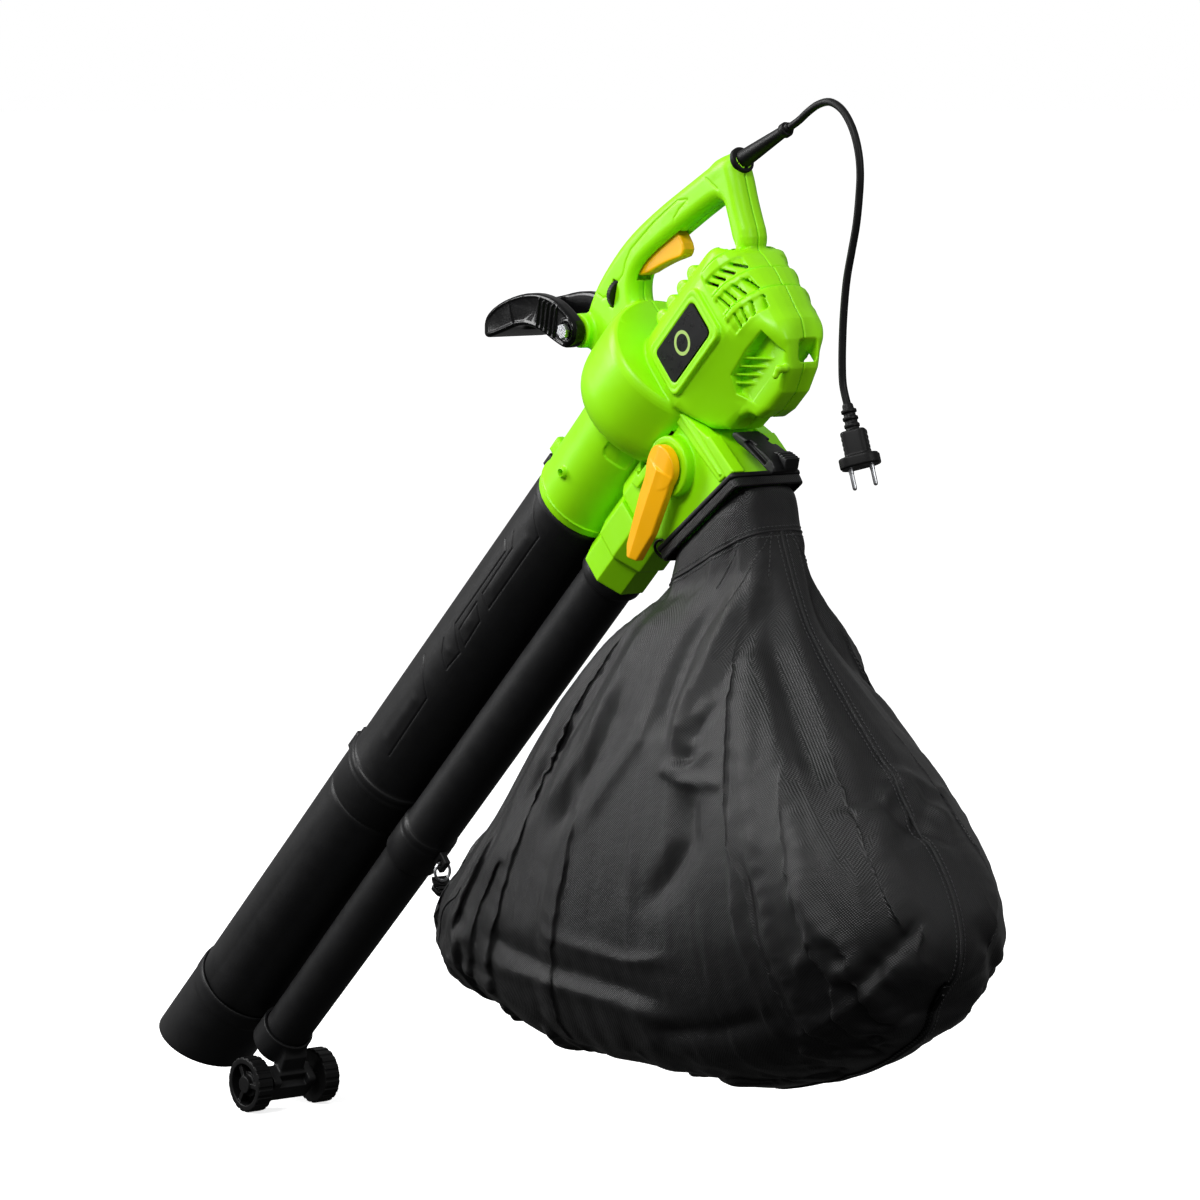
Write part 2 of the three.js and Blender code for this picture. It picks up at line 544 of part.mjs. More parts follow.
function bagBody() {
  const around = 32;
  const points = [];
  const faces = [];
  for (const [cx, cz, a, b, rise] of BAG_RINGS) {
    const power = cz > -300 ? 0.45 : 0.7;
    for (let i = 0; i < around; i++) {
      const t = (2 * Math.PI * i) / around;
      const c = Math.cos(t);
      const s = Math.sin(t);
      const dx = a * Math.sign(c) * Math.abs(c) ** power;
      const dy = b * Math.sign(s) * Math.abs(s) ** power;
      points.push(cx + dx, dy, cz - rise * dx);
    }
  }
  const rows = BAG_RINGS.length;
  points.push(BAG_RINGS[0][0], 0, BAG_RINGS[0][1], BAG_RINGS[rows - 1][0], 0, BAG_RINGS[rows - 1][1] - 4);
  const top = rows * around;
  for (let i = 0; i < around; i++) {
    const next = (i + 1) % around;
    faces.push(top, i, next, top + 1, (rows - 1) * around + next, (rows - 1) * around + i);
    for (let row = 0; row + 1 < rows; row++) {
      const [a, b] = [row * around + i, row * around + next];
      faces.push(a, a + around, b, b, a + around, b + around);
    }
  }
  const geometry = new THREE.BufferGeometry();
  geometry.setAttribute("position", new THREE.Float32BufferAttribute(points, 3));
  geometry.setIndex(faces);
  return solid(geometry);
}

function bagFrame() {
  const { x, z, length, width } = PORT;
  const [l, w] = [length / 2, width / 2];
  const outer = box(x - l - 6, x + l + 6, -w - 8, w + 8, z - 4, z + 5);
  const inner = box(x - l + 4, x + l - 4, -w + 3.6, w - 3.6, z - 20, z + 20);
  const seat = box(x - l - 1, x + l + 1.4, -w - 0.6, w + 0.6, z - 0.6, z + 20);
  return portTurned(cut(outer, inner, seat));
}

function bagFittings() {
  add("bag_frame", bagFrame(), BLACK);
  const latch = side([
    [-96, -112], [-103, -109], [-111, -125], [-126, -160], [-124, -174], [-116, -172], [-111, -150],
  ], -8, 20);
  add("bag_latch", latch, BLACK);
  const button = [[-124, -152], [-131, -158], [-136, -170], [-126.5, -176], [-128, -160]];
  add("latch_button", side(button, -4, 12), BLACK);
}

function strapAndHook() {
  const hook = toWorld(544, 0, -114.5);
  const ringShape = new THREE.TorusGeometry(9, 1.6, 6, 18);
  ringShape.rotateY(Math.PI / 2);
  ringShape.translate(hook.x, 0, hook.z - 8.6);
  add("strap_hook", solid(ringShape), STEEL, root);
}

makeHousing();
add("outlet_housing", outletHousing(), GREEN);
add("blow_socket", blowSocket(), GREEN);
selector();
suctionTubes();
blowTubes();
wheels();
frontHandle();
controls();
motor();
cable();
plug();
add("bag", bagBody(), CLOTH, root);
bagFittings();
strapAndHook();

export default root;
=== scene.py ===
"""Garden blower and vacuum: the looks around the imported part. Lengths are in tool millimetres until a piece is made."""

import math

import bmesh
import bpy
import numpy as np
from mathutils import Matrix, Vector
from mathutils.bvhtree import BVHTree


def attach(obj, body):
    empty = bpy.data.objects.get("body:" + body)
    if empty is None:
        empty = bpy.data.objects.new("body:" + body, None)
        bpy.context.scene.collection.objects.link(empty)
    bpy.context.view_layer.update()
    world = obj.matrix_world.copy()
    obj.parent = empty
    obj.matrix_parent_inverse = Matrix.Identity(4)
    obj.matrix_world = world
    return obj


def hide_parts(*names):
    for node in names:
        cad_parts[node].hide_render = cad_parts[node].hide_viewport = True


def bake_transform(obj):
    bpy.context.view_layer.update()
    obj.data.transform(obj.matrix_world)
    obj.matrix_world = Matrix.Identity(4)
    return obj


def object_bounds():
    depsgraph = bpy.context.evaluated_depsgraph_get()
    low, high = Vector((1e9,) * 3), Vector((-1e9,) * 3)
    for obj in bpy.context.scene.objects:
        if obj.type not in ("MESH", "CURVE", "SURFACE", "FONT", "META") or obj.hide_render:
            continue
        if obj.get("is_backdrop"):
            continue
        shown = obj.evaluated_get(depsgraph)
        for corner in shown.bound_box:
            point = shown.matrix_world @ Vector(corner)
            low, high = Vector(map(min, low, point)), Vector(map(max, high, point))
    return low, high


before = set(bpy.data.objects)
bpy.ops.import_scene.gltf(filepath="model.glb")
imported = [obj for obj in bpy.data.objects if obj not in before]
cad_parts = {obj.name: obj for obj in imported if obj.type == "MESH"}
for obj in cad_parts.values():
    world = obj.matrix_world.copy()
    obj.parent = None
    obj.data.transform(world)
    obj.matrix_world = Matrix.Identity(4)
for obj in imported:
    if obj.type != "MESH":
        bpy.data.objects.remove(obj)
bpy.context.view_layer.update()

SLOPE = math.radians(43.3)
GRIP = (-150.0, 0.0, 100.0)
MM = 0.001


# ---- Frames ----

def tool_matrix():
    """The tool frame, x forward along the suction tube, as it hangs in the row frame, in millimetres."""
    turn = Matrix.Rotation(SLOPE, 4, "Y")
    return Matrix.Translation(-(turn @ Vector(GRIP))) @ turn


TOOL = tool_matrix()
WORLD = Matrix.Identity(4)


def at(x, y, z):
    """A tool point in the row frame, in metres."""
    return (TOOL @ Vector((x, y, z))) * MM


# ---- Camera, floor and lights ----

def stage():
    camera_data = bpy.data.cameras.new("Camera")
    camera = bpy.data.objects.new("Camera", camera_data)
    bpy.context.scene.collection.objects.link(camera)
    towards = Vector((0.784, -0.6125, -0.101)).normalized()
    camera.location = Vector((0.0139, 0.0745, -0.3433)) - towards * 5.0
    camera.rotation_euler = towards.to_track_quat("-Z", "Y").to_euler()
    camera_data.lens = 165
    camera_data.sensor_width = 36
    camera_data.clip_end = 100
    bpy.context.scene.camera = camera

    low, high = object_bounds()
    mesh = bpy.data.meshes.new("Floor")
    floor = bpy.data.objects.new("Floor", mesh)
    bpy.context.scene.collection.objects.link(floor)
    shape = bmesh.new()
    bmesh.ops.create_circle(shape, cap_ends=True, segments=96, radius=80)
    shape.to_mesh(mesh)
    shape.free()
    floor.location = (0, 0, low.z - 0.0005)
    floor.visible_diffuse = floor.visible_glossy = False
    floor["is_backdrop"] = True

    world = bpy.data.worlds.new("World")
    bpy.context.scene.world = world
    world.use_nodes = True
    tree = world.node_tree
    back = tree.nodes["Background"]
    rise = tree.nodes.new("ShaderNodeSeparateXYZ")
    tree.links.new(tree.nodes.new("ShaderNodeTexCoord").outputs["Generated"], rise.inputs[0])
    dome = tree.nodes.new("ShaderNodeMapRange")
    for key, value in (("From Min", -0.6), ("From Max", 1.0), ("To Min", 0.03), ("To Max", 0.44)):
        dome.inputs[key].default_value = value
    tree.links.new(rise.outputs[2], dome.inputs["Value"])
    seen = tree.nodes.new("ShaderNodeMix")
    tree.links.new(tree.nodes.new("ShaderNodeLightPath").outputs["Is Camera Ray"], seen.inputs["Factor"])
    tree.links.new(dome.outputs["Result"], seen.inputs["A"])
    seen.inputs["B"].default_value = 1.0
    tree.links.new(seen.outputs["Result"], back.inputs["Strength"])
    back.inputs["Color"].default_value = (1.0, 1.0, 1.0, 1)

    def area(name, place, aim, size, power):
        data = bpy.data.lights.new(name, "AREA")
        data.shape = "RECTANGLE"
        data.size, data.size_y = size
        data.energy = power
        light = bpy.data.objects.new(name, data)
        bpy.context.scene.collection.objects.link(light)
        light.location = place
        light.rotation_euler = (Vector(aim) - Vector(place)).to_track_quat("-Z", "Y").to_euler()

    area("KeyLight", (-0.9, 2.9, 2.4), (0, 0, -0.3), (1.5, 1.2), 105)
    area("FillLight", (-3.2, -0.1, 1.1), (0, 0, -0.35), (1.0, 1.6), 26)
    area("RimLight", (2.3, 1.7, 1.1), (0.2, 0, -0.4), (0.6, 2.4), 85)
    bpy.context.scene.view_settings.view_transform = "Standard"
    return floor


FLOOR = stage()

# ---- Solids carved on a grid of distances ----

def smooth_least(a, b, blend):
    """The smaller of two distances, rounded over where they meet."""
    if blend <= 0:
        return np.minimum(a, b)
    h = np.maximum(blend - np.abs(a - b), 0) / blend
    return np.minimum(a, b) - h * h * (blend / 4)


def outline_distance(p, q, outline):
    """Signed distance on a plane to a closed outline, negative inside."""
    p, q = np.broadcast_arrays(p, q)
    best = np.full(p.shape, 1e9, np.float32)
    inside = np.zeros(p.shape, bool)
    for (ax, ay), (bx, by) in zip(outline, outline[1:] + outline[:1]):
        ex, ey = bx - ax, by - ay
        if ex * ex + ey * ey < 1e-9:
            continue
        wx, wy = p - ax, q - ay
        t = np.clip((wx * ex + wy * ey) / (ex * ex + ey * ey), 0, 1)
        best = np.minimum(best, (wx - ex * t) ** 2 + (wy - ey * t) ** 2)
        if ay != by:
            inside ^= ((ay > q) != (by > q)) & (p < ax + (q - ay) * ex / ey)
    return (np.sqrt(best) * np.where(inside, -1, 1)).astype(np.float32)


def soften(outline, rounds=2):
    """The outline with its corners cut off, round after round."""
    for _ in range(rounds):
        points = []
        for (ax, ay), (bx, by) in zip(outline, outline[1:] + outline[:1]):
            points += [(0.75 * ax + 0.25 * bx, 0.75 * ay + 0.25 * by), (0.25 * ax + 0.75 * bx, 0.25 * ay + 0.75 * by)]
        outline = points
    return outline


def arc(cx, cy, r, start, stop, steps):
    angles = [math.radians(start + (stop - start) * i / steps) for i in range(steps + 1)]
    return [(cx + r * math.cos(a), cy + r * math.sin(a)) for a in angles]


def rounded(x0, x1, y0, y1, r, steps=4):
    return (arc(x1 - r, y1 - r, r, 0, 90, steps) + arc(x0 + r, y1 - r, r, 90, 180, steps)
            + arc(x0 + r, y0 + r, r, 180, 270, steps) + arc(x1 - r, y0 + r, r, 270, 360, steps))


def spun(outline, degrees, about=(0, 0)):
    """A side view outline turned as a positive turn about y does."""
    c, s = math.cos(math.radians(degrees)), math.sin(math.radians(degrees))
    return [(about[0] + (x - about[0]) * c + (z - about[1]) * s,
             about[1] - (x - about[0]) * s + (z - about[1]) * c) for x, z in outline]


class Shape:
    def __init__(self, low, high, distance):
        self.low, self.high, self.distance = np.array(low, float), np.array(high, float), distance


BIG = 400.0


def prism(outline, start, stop, axis="y", edge=0.0):
    """An outline made long between start and stop along one axis, its long edges rounded."""
    ps, qs = [p[0] for p in outline], [p[1] for p in outline]
    middle, half = (start + stop) / 2, (stop - start) / 2
    spans = [(min(ps), max(ps)), (min(qs), max(qs))]
    spans.insert("xyz".index(axis), (start, stop))

    def distance(x, y, z):
        across = {"y": (x, z), "z": (x, y), "x": (y, z)}[axis]
        along = {"y": y, "z": z, "x": x}[axis]
        a = outline_distance(*across, outline) + edge
        b = np.abs(along - middle) - half + edge
        outside = np.sqrt(np.maximum(a, 0) ** 2 + np.maximum(b, 0) ** 2)
        return np.minimum(np.maximum(a, b), 0) + outside - edge

    return Shape([s[0] for s in spans], [s[1] for s in spans], distance)


def block(x0, x1, y0, y1, z0, z1, edge=0.0):
    return prism([(x0, z0), (x1, z0), (x1, z1), (x0, z1)], y0, y1, "y", edge)


def lathe(profile, z=0.0, y=0.0):
    """A body turned about a line along x. The closed profile holds (x, radius) pairs."""
    reach = max(p[1] for p in profile)
    fine = 0.5

    def distance(x, yy, zz):
        radii = np.arange(0, reach + 60, fine, dtype=np.float32)
        table = outline_distance(x.reshape(-1, 1), radii.reshape(1, -1), profile)
        r = np.sqrt((yy - y) ** 2 + (zz - z) ** 2).reshape(-1) / fine
        low = np.minimum(r.astype(int), len(radii) - 2)
        share = (r - low).astype(np.float32)
        values = table[:, low] * (1 - share) + table[:, low + 1] * share
        return values.reshape(x.shape[0], yy.shape[1], zz.shape[2])

    xs = [p[0] for p in profile]
    return Shape((min(xs), y - reach, z - reach), (max(xs), y + reach, z + reach), distance)


def tube_profile(profile):
    return profile


def pin(x, z, r, y0, y1, edge=0.0):
    middle, half = (y0 + y1) / 2, (y1 - y0) / 2

    def distance(xx, yy, zz):
        a = np.sqrt((xx - x) ** 2 + (zz - z) ** 2) - r + edge
        b = np.abs(yy - middle) - half + edge
        return np.minimum(np.maximum(a, b), 0) + np.sqrt(np.maximum(a, 0) ** 2 + np.maximum(b, 0) ** 2) - edge

    return Shape((x - r, y0, z - r), (x + r, y1, z + r), distance)


def rod(a, b, r0, r1=None):
    """A round-ended bar from a to b."""
    a, b = np.array(a, float), np.array(b, float)
    r1 = r0 if r1 is None else r1
    d = b - a
    length = float(d @ d)

    def distance(x, y, z):
        px, py, pz = x - a[0], y - a[1], z - a[2]
        t = np.clip((px * d[0] + py * d[1] + pz * d[2]) / max(length, 1e-9), 0, 1)
        r = r0 + (r1 - r0) * t
        return np.sqrt((px - d[0] * t) ** 2 + (py - d[1] * t) ** 2 + (pz - d[2] * t) ** 2) - r

    top = max(r0, r1)
    return Shape(np.minimum(a, b) - top, np.maximum(a, b) + top, distance)


def common(*shapes, blend=0.0):
    """What the shapes share, with rounded edges."""
    def distance(x, y, z):
        d = shapes[0].distance(x, y, z)
        for s in shapes[1:]:
            d = -smooth_least(-d, -s.distance(x, y, z), blend)
        return d

    low = np.max([s.low for s in shapes], axis=0)
    high = np.min([s.high for s in shapes], axis=0)
    return Shape(low, high, distance)


class Clay:
    """A solid held as signed distances on a grid."""

    def __init__(self, low, high, step=1.0):
        self.step, self.low = step, np.array(low, float)
        counts = [int((b - a) / step) + 2 for a, b in zip(low, high)]
        self.axes = [np.float32(a + step * np.arange(n)) for a, n in zip(low, counts)]
        self.d = np.full(counts, 99.0, np.float32)

    def near(self, low, high, margin):
        window = []
        for i in range(3):
            start = int((low[i] - margin - self.low[i]) / self.step)
            stop = int((high[i] + margin - self.low[i]) / self.step) + 2
            window.append(slice(max(0, start), max(0, min(len(self.axes[i]), stop))))
        grid = (self.axes[0][window[0]].reshape(-1, 1, 1), self.axes[1][window[1]].reshape(1, -1, 1),
                self.axes[2][window[2]].reshape(1, 1, -1))
        return tuple(window), grid

    def add(self, *shapes, blend=0.0):
        for s in shapes:
            window, grid = self.near(s.low, s.high, blend + 3 * self.step)
            if min(len(g.reshape(-1)) for g in grid):
                self.d[window] = smooth_least(self.d[window], s.distance(*grid), blend)
        return self

    def cut(self, *shapes, blend=0.0):
        for s in shapes:
            window, grid = self.near(s.low, s.high, blend + 3 * self.step)
            if min(len(g.reshape(-1)) for g in grid):
                self.d[window] = -smooth_least(-self.d[window], s.distance(*grid), blend)
        return self

    def keep(self, shape, blend=0.0):
        grid = (self.axes[0].reshape(-1, 1, 1), self.axes[1].reshape(1, -1, 1), self.axes[2].reshape(1, 1, -1))
        self.d = -smooth_least(-self.d, -shape.distance(*grid), blend)
        return self

    def swell(self, amount):
        """Moves the surface outwards by amount(x, y, z)."""
        grid = (self.axes[0].reshape(-1, 1, 1), self.axes[1].reshape(1, -1, 1), self.axes[2].reshape(1, 1, -1))
        self.d = (self.d - amount(*grid)).astype(np.float32)
        return self

    def line(self, points, r, blend=0.8, raised=False):
        """A groove or a bead along a line."""
        for a, b in zip(points, points[1:]):
            (self.add if raised else self.cut)(rod(a, b, r), blend=blend)
        return self

    def surface(self):
        """Vertices in millimetres and quads of the zero surface."""
        d = self.d
        for axis in range(3):
            edge = [slice(None)] * 3
            for end in (0, -1):
                edge[axis] = end
                d[tuple(edge)] = np.maximum(d[tuple(edge)], 0.3)
        inside = d < 0
        count = np.zeros([n - 1 for n in d.shape], np.int8)
        for i in (0, 1):
            for j in (0, 1):
                for k in (0, 1):
                    count += inside[i:d.shape[0] - 1 + i, j:d.shape[1] - 1 + j, k:d.shape[2] - 1 + k]
        active = (count > 0) & (count < 8)
        ids = np.full(active.shape, -1, np.int64)
        cells = np.argwhere(active)
        ids[active] = np.arange(len(cells))
        total = np.zeros((len(cells), 3))
        hits = np.zeros(len(cells))
        unit = np.eye(3, dtype=int)
        for axis in range(3):
            u, v = (axis + 1) % 3, (axis + 2) % 3
            for i in (0, 1):
                for j in (0, 1):
                    a = cells + unit[u] * i + unit[v] * j
                    b = a + unit[axis]
                    da, db = d[tuple(a.T)], d[tuple(b.T)]
                    crossing = (da < 0) != (db < 0)
                    t = da[crossing] / (da[crossing] - db[crossing])
                    total[crossing] += a[crossing] + t[:, None] * unit[axis]
                    hits[crossing] += 1
        points = self.low + self.step * total / np.maximum(hits, 1)[:, None]
        quads = []
        for axis in range(3):
            u, v = (axis + 1) % 3, (axis + 2) % 3
            first, second = [slice(1, -1)] * 3, [slice(1, -1)] * 3
            first[axis], second[axis] = slice(0, -1), slice(1, None)
            a, b = inside[tuple(first)], inside[tuple(second)]
            for flip in (False, True):
                where = np.argwhere((b & ~a) if flip else (a & ~b))
                where[:, u] += 1
                where[:, v] += 1
                ring = [where - unit[u] - unit[v], where - unit[v], where, where - unit[u]]
                ring = ring[::-1] if flip else ring
                quads.append(np.stack([ids[tuple(c.T)] for c in ring], 1))
        return points, np.concatenate(quads)


# ---- Making Blender objects ----

def mesh_object(name, points, faces, matrix=TOOL, smooth=True):
    """A mesh piece from millimetre points."""
    points = np.asarray(points, float)
    m = np.array(matrix)
    placed = (points @ m[:3, :3].T + m[:3, 3]) * MM
    mesh = bpy.data.meshes.new(name)
    mesh.from_pydata(placed.tolist(), [], faces.tolist() if isinstance(faces, np.ndarray) else faces)
    mesh.update()
    if smooth:
        mesh.shade_smooth()
    ob = bpy.data.objects.new(name, mesh)
    bpy.context.scene.collection.objects.link(ob)
    return ob


def settle(ob):
    """The object with its modifiers worked into its mesh."""
    bpy.context.view_layer.update()
    done = bpy.data.meshes.new_from_object(ob.evaluated_get(bpy.context.evaluated_depsgraph_get()))
    ob.modifiers.clear()
    ob.data = done
    return ob


def carve(name, clay, keep=0.4, matrix=TOOL):
    """The clay's surface as a piece, thinned to a share of its faces."""
    points, quads = clay.surface()
    ob = mesh_object(name, points, quads, matrix)
    if keep < 1:
        thin = ob.modifiers.new("thin", "DECIMATE")
        thin.ratio = keep
        settle(ob)
        ob.data.shade_smooth()
    return ob


def finish_piece(ob, material, body, replaced=()):
    ob.data.materials.clear()
    ob.data.materials.append(material)
    if body:
        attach(ob, body)
    if replaced:
        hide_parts(*replaced)
    return ob


# ---- Housing halves ----

def housing_clay():
    clay = Clay((-266, -76, -134), (133, 76, 132), 1.0)
    drum = [(128.8, 47.3), (18, 48.6), (12, 50), (9, 58), (4, 64.5), (-4, 69.5), (-15, 72.3), (-26, 73), (-66, 73),
            (-73, 71), (-77, 67)]
    drum = soften(drum + [(x, -r) for x, r in reversed(drum)], 1)
    drum = [(128.8, 0), (128.8, 46.6)] + [p for p in drum if 0 < p[1] and p[0] < 128] + [(-77, 0)]

    side_view = soften([(-66, 34), (-172, 34), (-188, 31), (-206, 20), (-219, 2), (-225, -16), (-228, -36),
                        (-228, -60), (-226, -90), (-188, -127), (-137, -126), (-127, -108), (-90, -104),
                        (-73, -58), (-66, -30)], 1)
    rear = arc(-182, 0, 46, 90, 270, 16) + [(-60, -54), (-60, 54)]
    across = arc(0, -12, 46, 0, 180, 20) + [(-46, -40), (-44, -58), (-22, -104), (-16, -134), (16, -134),
                                            (22, -104), (44, -58), (46, -40)]
    body = common(prism(side_view, -60, 60), prism(rear, -135, 40, "z"), prism(across, -260, -60, "x"), blend=7)
    clay.add(body)

    bands = [(34, 3), (3, -24), (-24, -47), (-47, -70)]

    def lapped(x, y, z):
        """Each band stands out at its upper edge, under a fine groove, and runs back to the next one."""
        out = np.zeros_like(z)
        for top, bottom in bands[1:]:
            here = (z <= top) & (z > bottom)
            out = np.where(here, 2.4 * (z - bottom) / (top - bottom), out)
            out = np.where((z > top) & (z <= top + 2), -1.1, out)
        return out * np.clip((-184 - x) / 5, 0, 1) * np.clip((34 - z) / 6, 0, 1)

    clay.swell(lapped)
    windows = [(-5, -21), (-28, -44), (-51, -66)]

    def sunk(x, y, z):
        """The vent panels lie a little below the bands around them."""
        depth = np.zeros(np.broadcast(x, y, z).shape, np.float32)
        for row, (top, bottom) in enumerate(windows):
            start, stop = -186.5 + 1.5 * row, -222.0
            across_z = np.clip((top - z) / 2, 0, 1) * np.clip((z - bottom) / 2, 0, 1)
            across_x = np.clip((start - x) / 2, 0, 1) * np.clip((x - stop) / 2, 0, 1)
            depth = np.maximum(depth, 1.3 * across_z * across_x)
        return -depth * (np.abs(y) > 16)

    clay.swell(sunk)

    # The collecting post, its finned pockets and the strap eye.
    pocket_room = [(-136, -93), (-147, -81), (-178, -79), (-206, -80), (-206, -124), (-190, -136), (-160, -140), (-146, -118)]
    fin_room = [(-134, -92), (-146, -79), (-178, -77), (-208, -78), (-208, -104), (-190, -119), (-160, -121), (-146, -117)]
    fin_ends = [(-41, -40), (-40, -58), (-19.5, -101), (-13, -134), (13, -134), (19.5, -101), (40, -58), (41, -40)]
    for sign in (1, -1):
        clay.cut(prism(pocket_room, *sorted((sign * 20, sign * 62))), blend=1.2)
    for i in range(4):
        cx, cz = -186 + 5.2 * i, -96 - 5.6 * i
        fin = [(cx + u * 0.728 + v * 0.686, cz + u * 0.686 - v * 0.728)
               for u, v in ((-40, -1.1), (40, -1.1), (40, 1.1), (-40, 1.1))]
        clay.add(common(prism(fin, -36, 36), prism(fin_room, -60, 60), prism(fin_ends, -196, -130, "x")), blend=0.8)
    clay.cut(block(-240, -186, -15, 6, -113, -99, 3), block(-197, -184, -60, 6, -113, -99, 3), blend=1)
    clay.add(rod((-196, 20, -116), (-196, 27, -116), 3.4), rod((-196, 27, -116), (-190, 29, -119), 2.8), blend=2)

    # Drum, sleeve and the rings on it.
    clay.add(lathe(drum), blend=2.5)
    clay.add(lathe([(119.4, 40), (120.6, 40), (120.6, 48.6), (119.4, 48.6)]), blend=0.8)
    clay.add(rod((85, 42, 0), (85, 48.6, 0), 5.4), blend=1.5)
    panel = soften([(13, -20), (33, -20), (35, -30), (33, -48), (22, -70), (8, -60)], 1)
    clay.cut(common(prism(panel, 26, 60), lathe([(4, 47.2), (60, 46.6), (60, 70), (4, 70)])), blend=0.8)
    clay.add(block(110, 128, -9, 9, 40, 63, 3), blend=3)

    # Top ridges over the cooling air way.
    for i in range(4):
        clay.add(pin(-98 - 20 * i, 29, 8, -24, 24, 3), blend=2.5)
        clay.cut(block(-103 - 20 * i, -95 - 20 * i, -14, 14, 33, 60, 1.2), blend=0)

    # Rear handle, thick and nearly round, running into the drum and the motor body.
    grip = soften([(15, 58), (15, 90), (8, 103), (-6, 114), (-28, 122), (-56, 126), (-100, 126), (-150, 116),
                   (-200, 102), (-234, 92.5), (-251, 87), (-258, 76), (-254, 62), (-242, 38), (-229, 2), (-204, 2),
                   (-207, 16), (-218, 40), (-226, 60), (-200, 69), (-150, 82), (-104, 93), (-84, 91), (-73, 83),
                   (-66, 70), (-64, 28), (-30, 28)], 2)
    clay.add(prism(grip, -15.5, 15.5, "y", 10.5), blend=6)
    clay.add(pin(3, 101, 16, -23.4, 23.4, 2), blend=4)
    clay.add(rod((-236, 0, 81), (-256, 0, 75), 13, 10.5), blend=5)

    # Raised frame round the label on the left, a plain pad on the right.
    pad = rounded(-176, -86, -56, 1, 9)
    clay.add(prism(pad, -49, 49, "y", 1.2), blend=2)
    clay.cut(prism(rounded(-166, -95, -47, -9, 5), 47, 60), blend=0.6)
    groove = rounded(-171, -90, -51.5, -4.5, 7)
    clay.line([(x, 49.4, z) for x, z in groove + groove[:1]], 0.8, 0.5)

    # Hollows.
    clay.cut(lathe([(-57, 0), (-57, 69.5), (-20, 69.5), (-8, 67), (-2, 60), (-2, 0)]))
    clay.cut(lathe([(-10, 0), (-10, 44.4), (134, 44.4), (134, 0)]))
    motor = lathe([(-214, 0), (-214, 40), (-62, 40), (-62, 0)], z=-12)
    room = prism(arc(-182, 0, 40, 90, 270, 12) + [(-60, -42), (-60, 42)], -90, 40, "z")
    clay.cut(common(motor, room, blend=2))
    clay.cut(common(block(-206, -62, -36, 36, -56, -14), room))
    behind_vents = [(-170, 14), (-196, 12), (-208, 0), (-217, -18), (-223, -38), (-223, -58), (-220, -72), (-170, -72)]
    clay.cut(common(prism(behind_vents, -40, 40), room, prism(arc(0, -12, 41, 0, 180, 16) + [(-40, -44), (-37, -60), (-33, -72),
                                                                                             (33, -72), (37, -60), (40, -44)],
                                                              -260, -150, "x"), blend=2))
    clay.cut(block(-50, -8, -34, 34, -90, -45))
    clay.cut(prism([(-77, 92), (-78, 106), (-108, 119), (-140, 111), (-158, 98), (-158, 60), (-146, 50), (-93, 80)], -8, 8))
    clay.cut(dial_room())
    clay.cut(block(-40, -14, -11, 11, 78, 92))
    clay.cut(pin(3, 101, 3.4, -30, 30))
    clay.cut(rod((-240, 0, 79.5), (-270, 0, 70.6), 7.6))
    clay.cut(pin(85, 0, 3.6, 44, 60))
    for x, z in ((-184, 90), (-226, 30)):
        clay.cut(pin(x, z, 4.2, -30, -9))

    # Vent slots: upper rows lean one way, the lowest the other.
    for row, (z, lean) in enumerate(((-13, 34), (-36, 14), (-58.5, -16))):
        for i in range(4):
            x = -192 - 8.2 * i - 1.5 * row
            half = (7.2, 8.2, 7.2)[row]
            slot = spun([(-1.4, -half), (1.4, -half), (1.4, half), (-1.4, half)], lean)
            for sign in (1, -1):
                clay.cut(prism([(x + a, z + b) for a, b in slot], *sorted((sign * 14, sign * 60))), blend=0.4)

    # Fine joints on the grip.
    for sign in (1, -1):
        inlay = [(-63, 101.5), (-75, 101), (-86, 107), (-98.5, 110), (-141, 105.6), (-180, 97.5), (-192, 88),
                 (-178, 89.6), (-166, 89), (-162.5, 85), (-161.5, 78), (-167, 66)]
        clay.line([(x, sign * 15.5, z) for x, z in inlay], 0.75, 0.4)
        clay.line([(-219, sign * 15.5, 97), (-224.5, sign * 15.5, 84), (-230, sign * 15.5, 66)], 0.75, 0.4)
        clay.line([(-33, sign * 15.5, 118), (-37.6, sign * 15.5, 105), (-46, sign * 15.5, 101)], 0.75, 0.4)
    return clay


def dial_room():
    """The slot for the speed dial: a disc about a line that leans with the front of the handle."""
    line = Vector((math.cos(math.radians(-56.8)), 0, -math.sin(math.radians(-56.8))))
    centre = Vector((-52, 8, 98))
    return disc_shape(centre, line, 14.6, 3.2)


def disc_shape(centre, line, radius, half):
    def distance(x, y, z):
        px, py, pz = x - centre.x, y - centre.y, z - centre.z
        along = px * line.x + py * line.y + pz * line.z
        off = np.sqrt(np.maximum(px * px + py * py + pz * pz - along * along, 0))
        return np.maximum(off - radius, np.abs(along) - half)

    reach = np.array((radius + half,) * 3)
    return Shape(np.array(centre) - reach, np.array(centre) + reach, distance)


def make_housing(green):
    clay = housing_clay()
    whole = clay.d
    for name, sign in (("housing_left", 1), ("housing_right", -1)):
        clay.d = -smooth_least(-whole, sign * clay.axes[1].reshape(1, -1, 1) - 0.12, 1.4)
        half = Clay((0, 0, 0), (1, 1, 1))
        rows = clay.axes[1] * sign > -3
        half.axes = [clay.axes[0], clay.axes[1][rows], clay.axes[2]]
        half.low = np.array([a[0] for a in half.axes], float)
        half.step = clay.step
        half.d = clay.d[:, rows, :].copy()
        piece = carve(f"Casing_{name}", half, 0.32)
        finish_piece(piece, green, "chassis", [name])


# ---- Materials ----

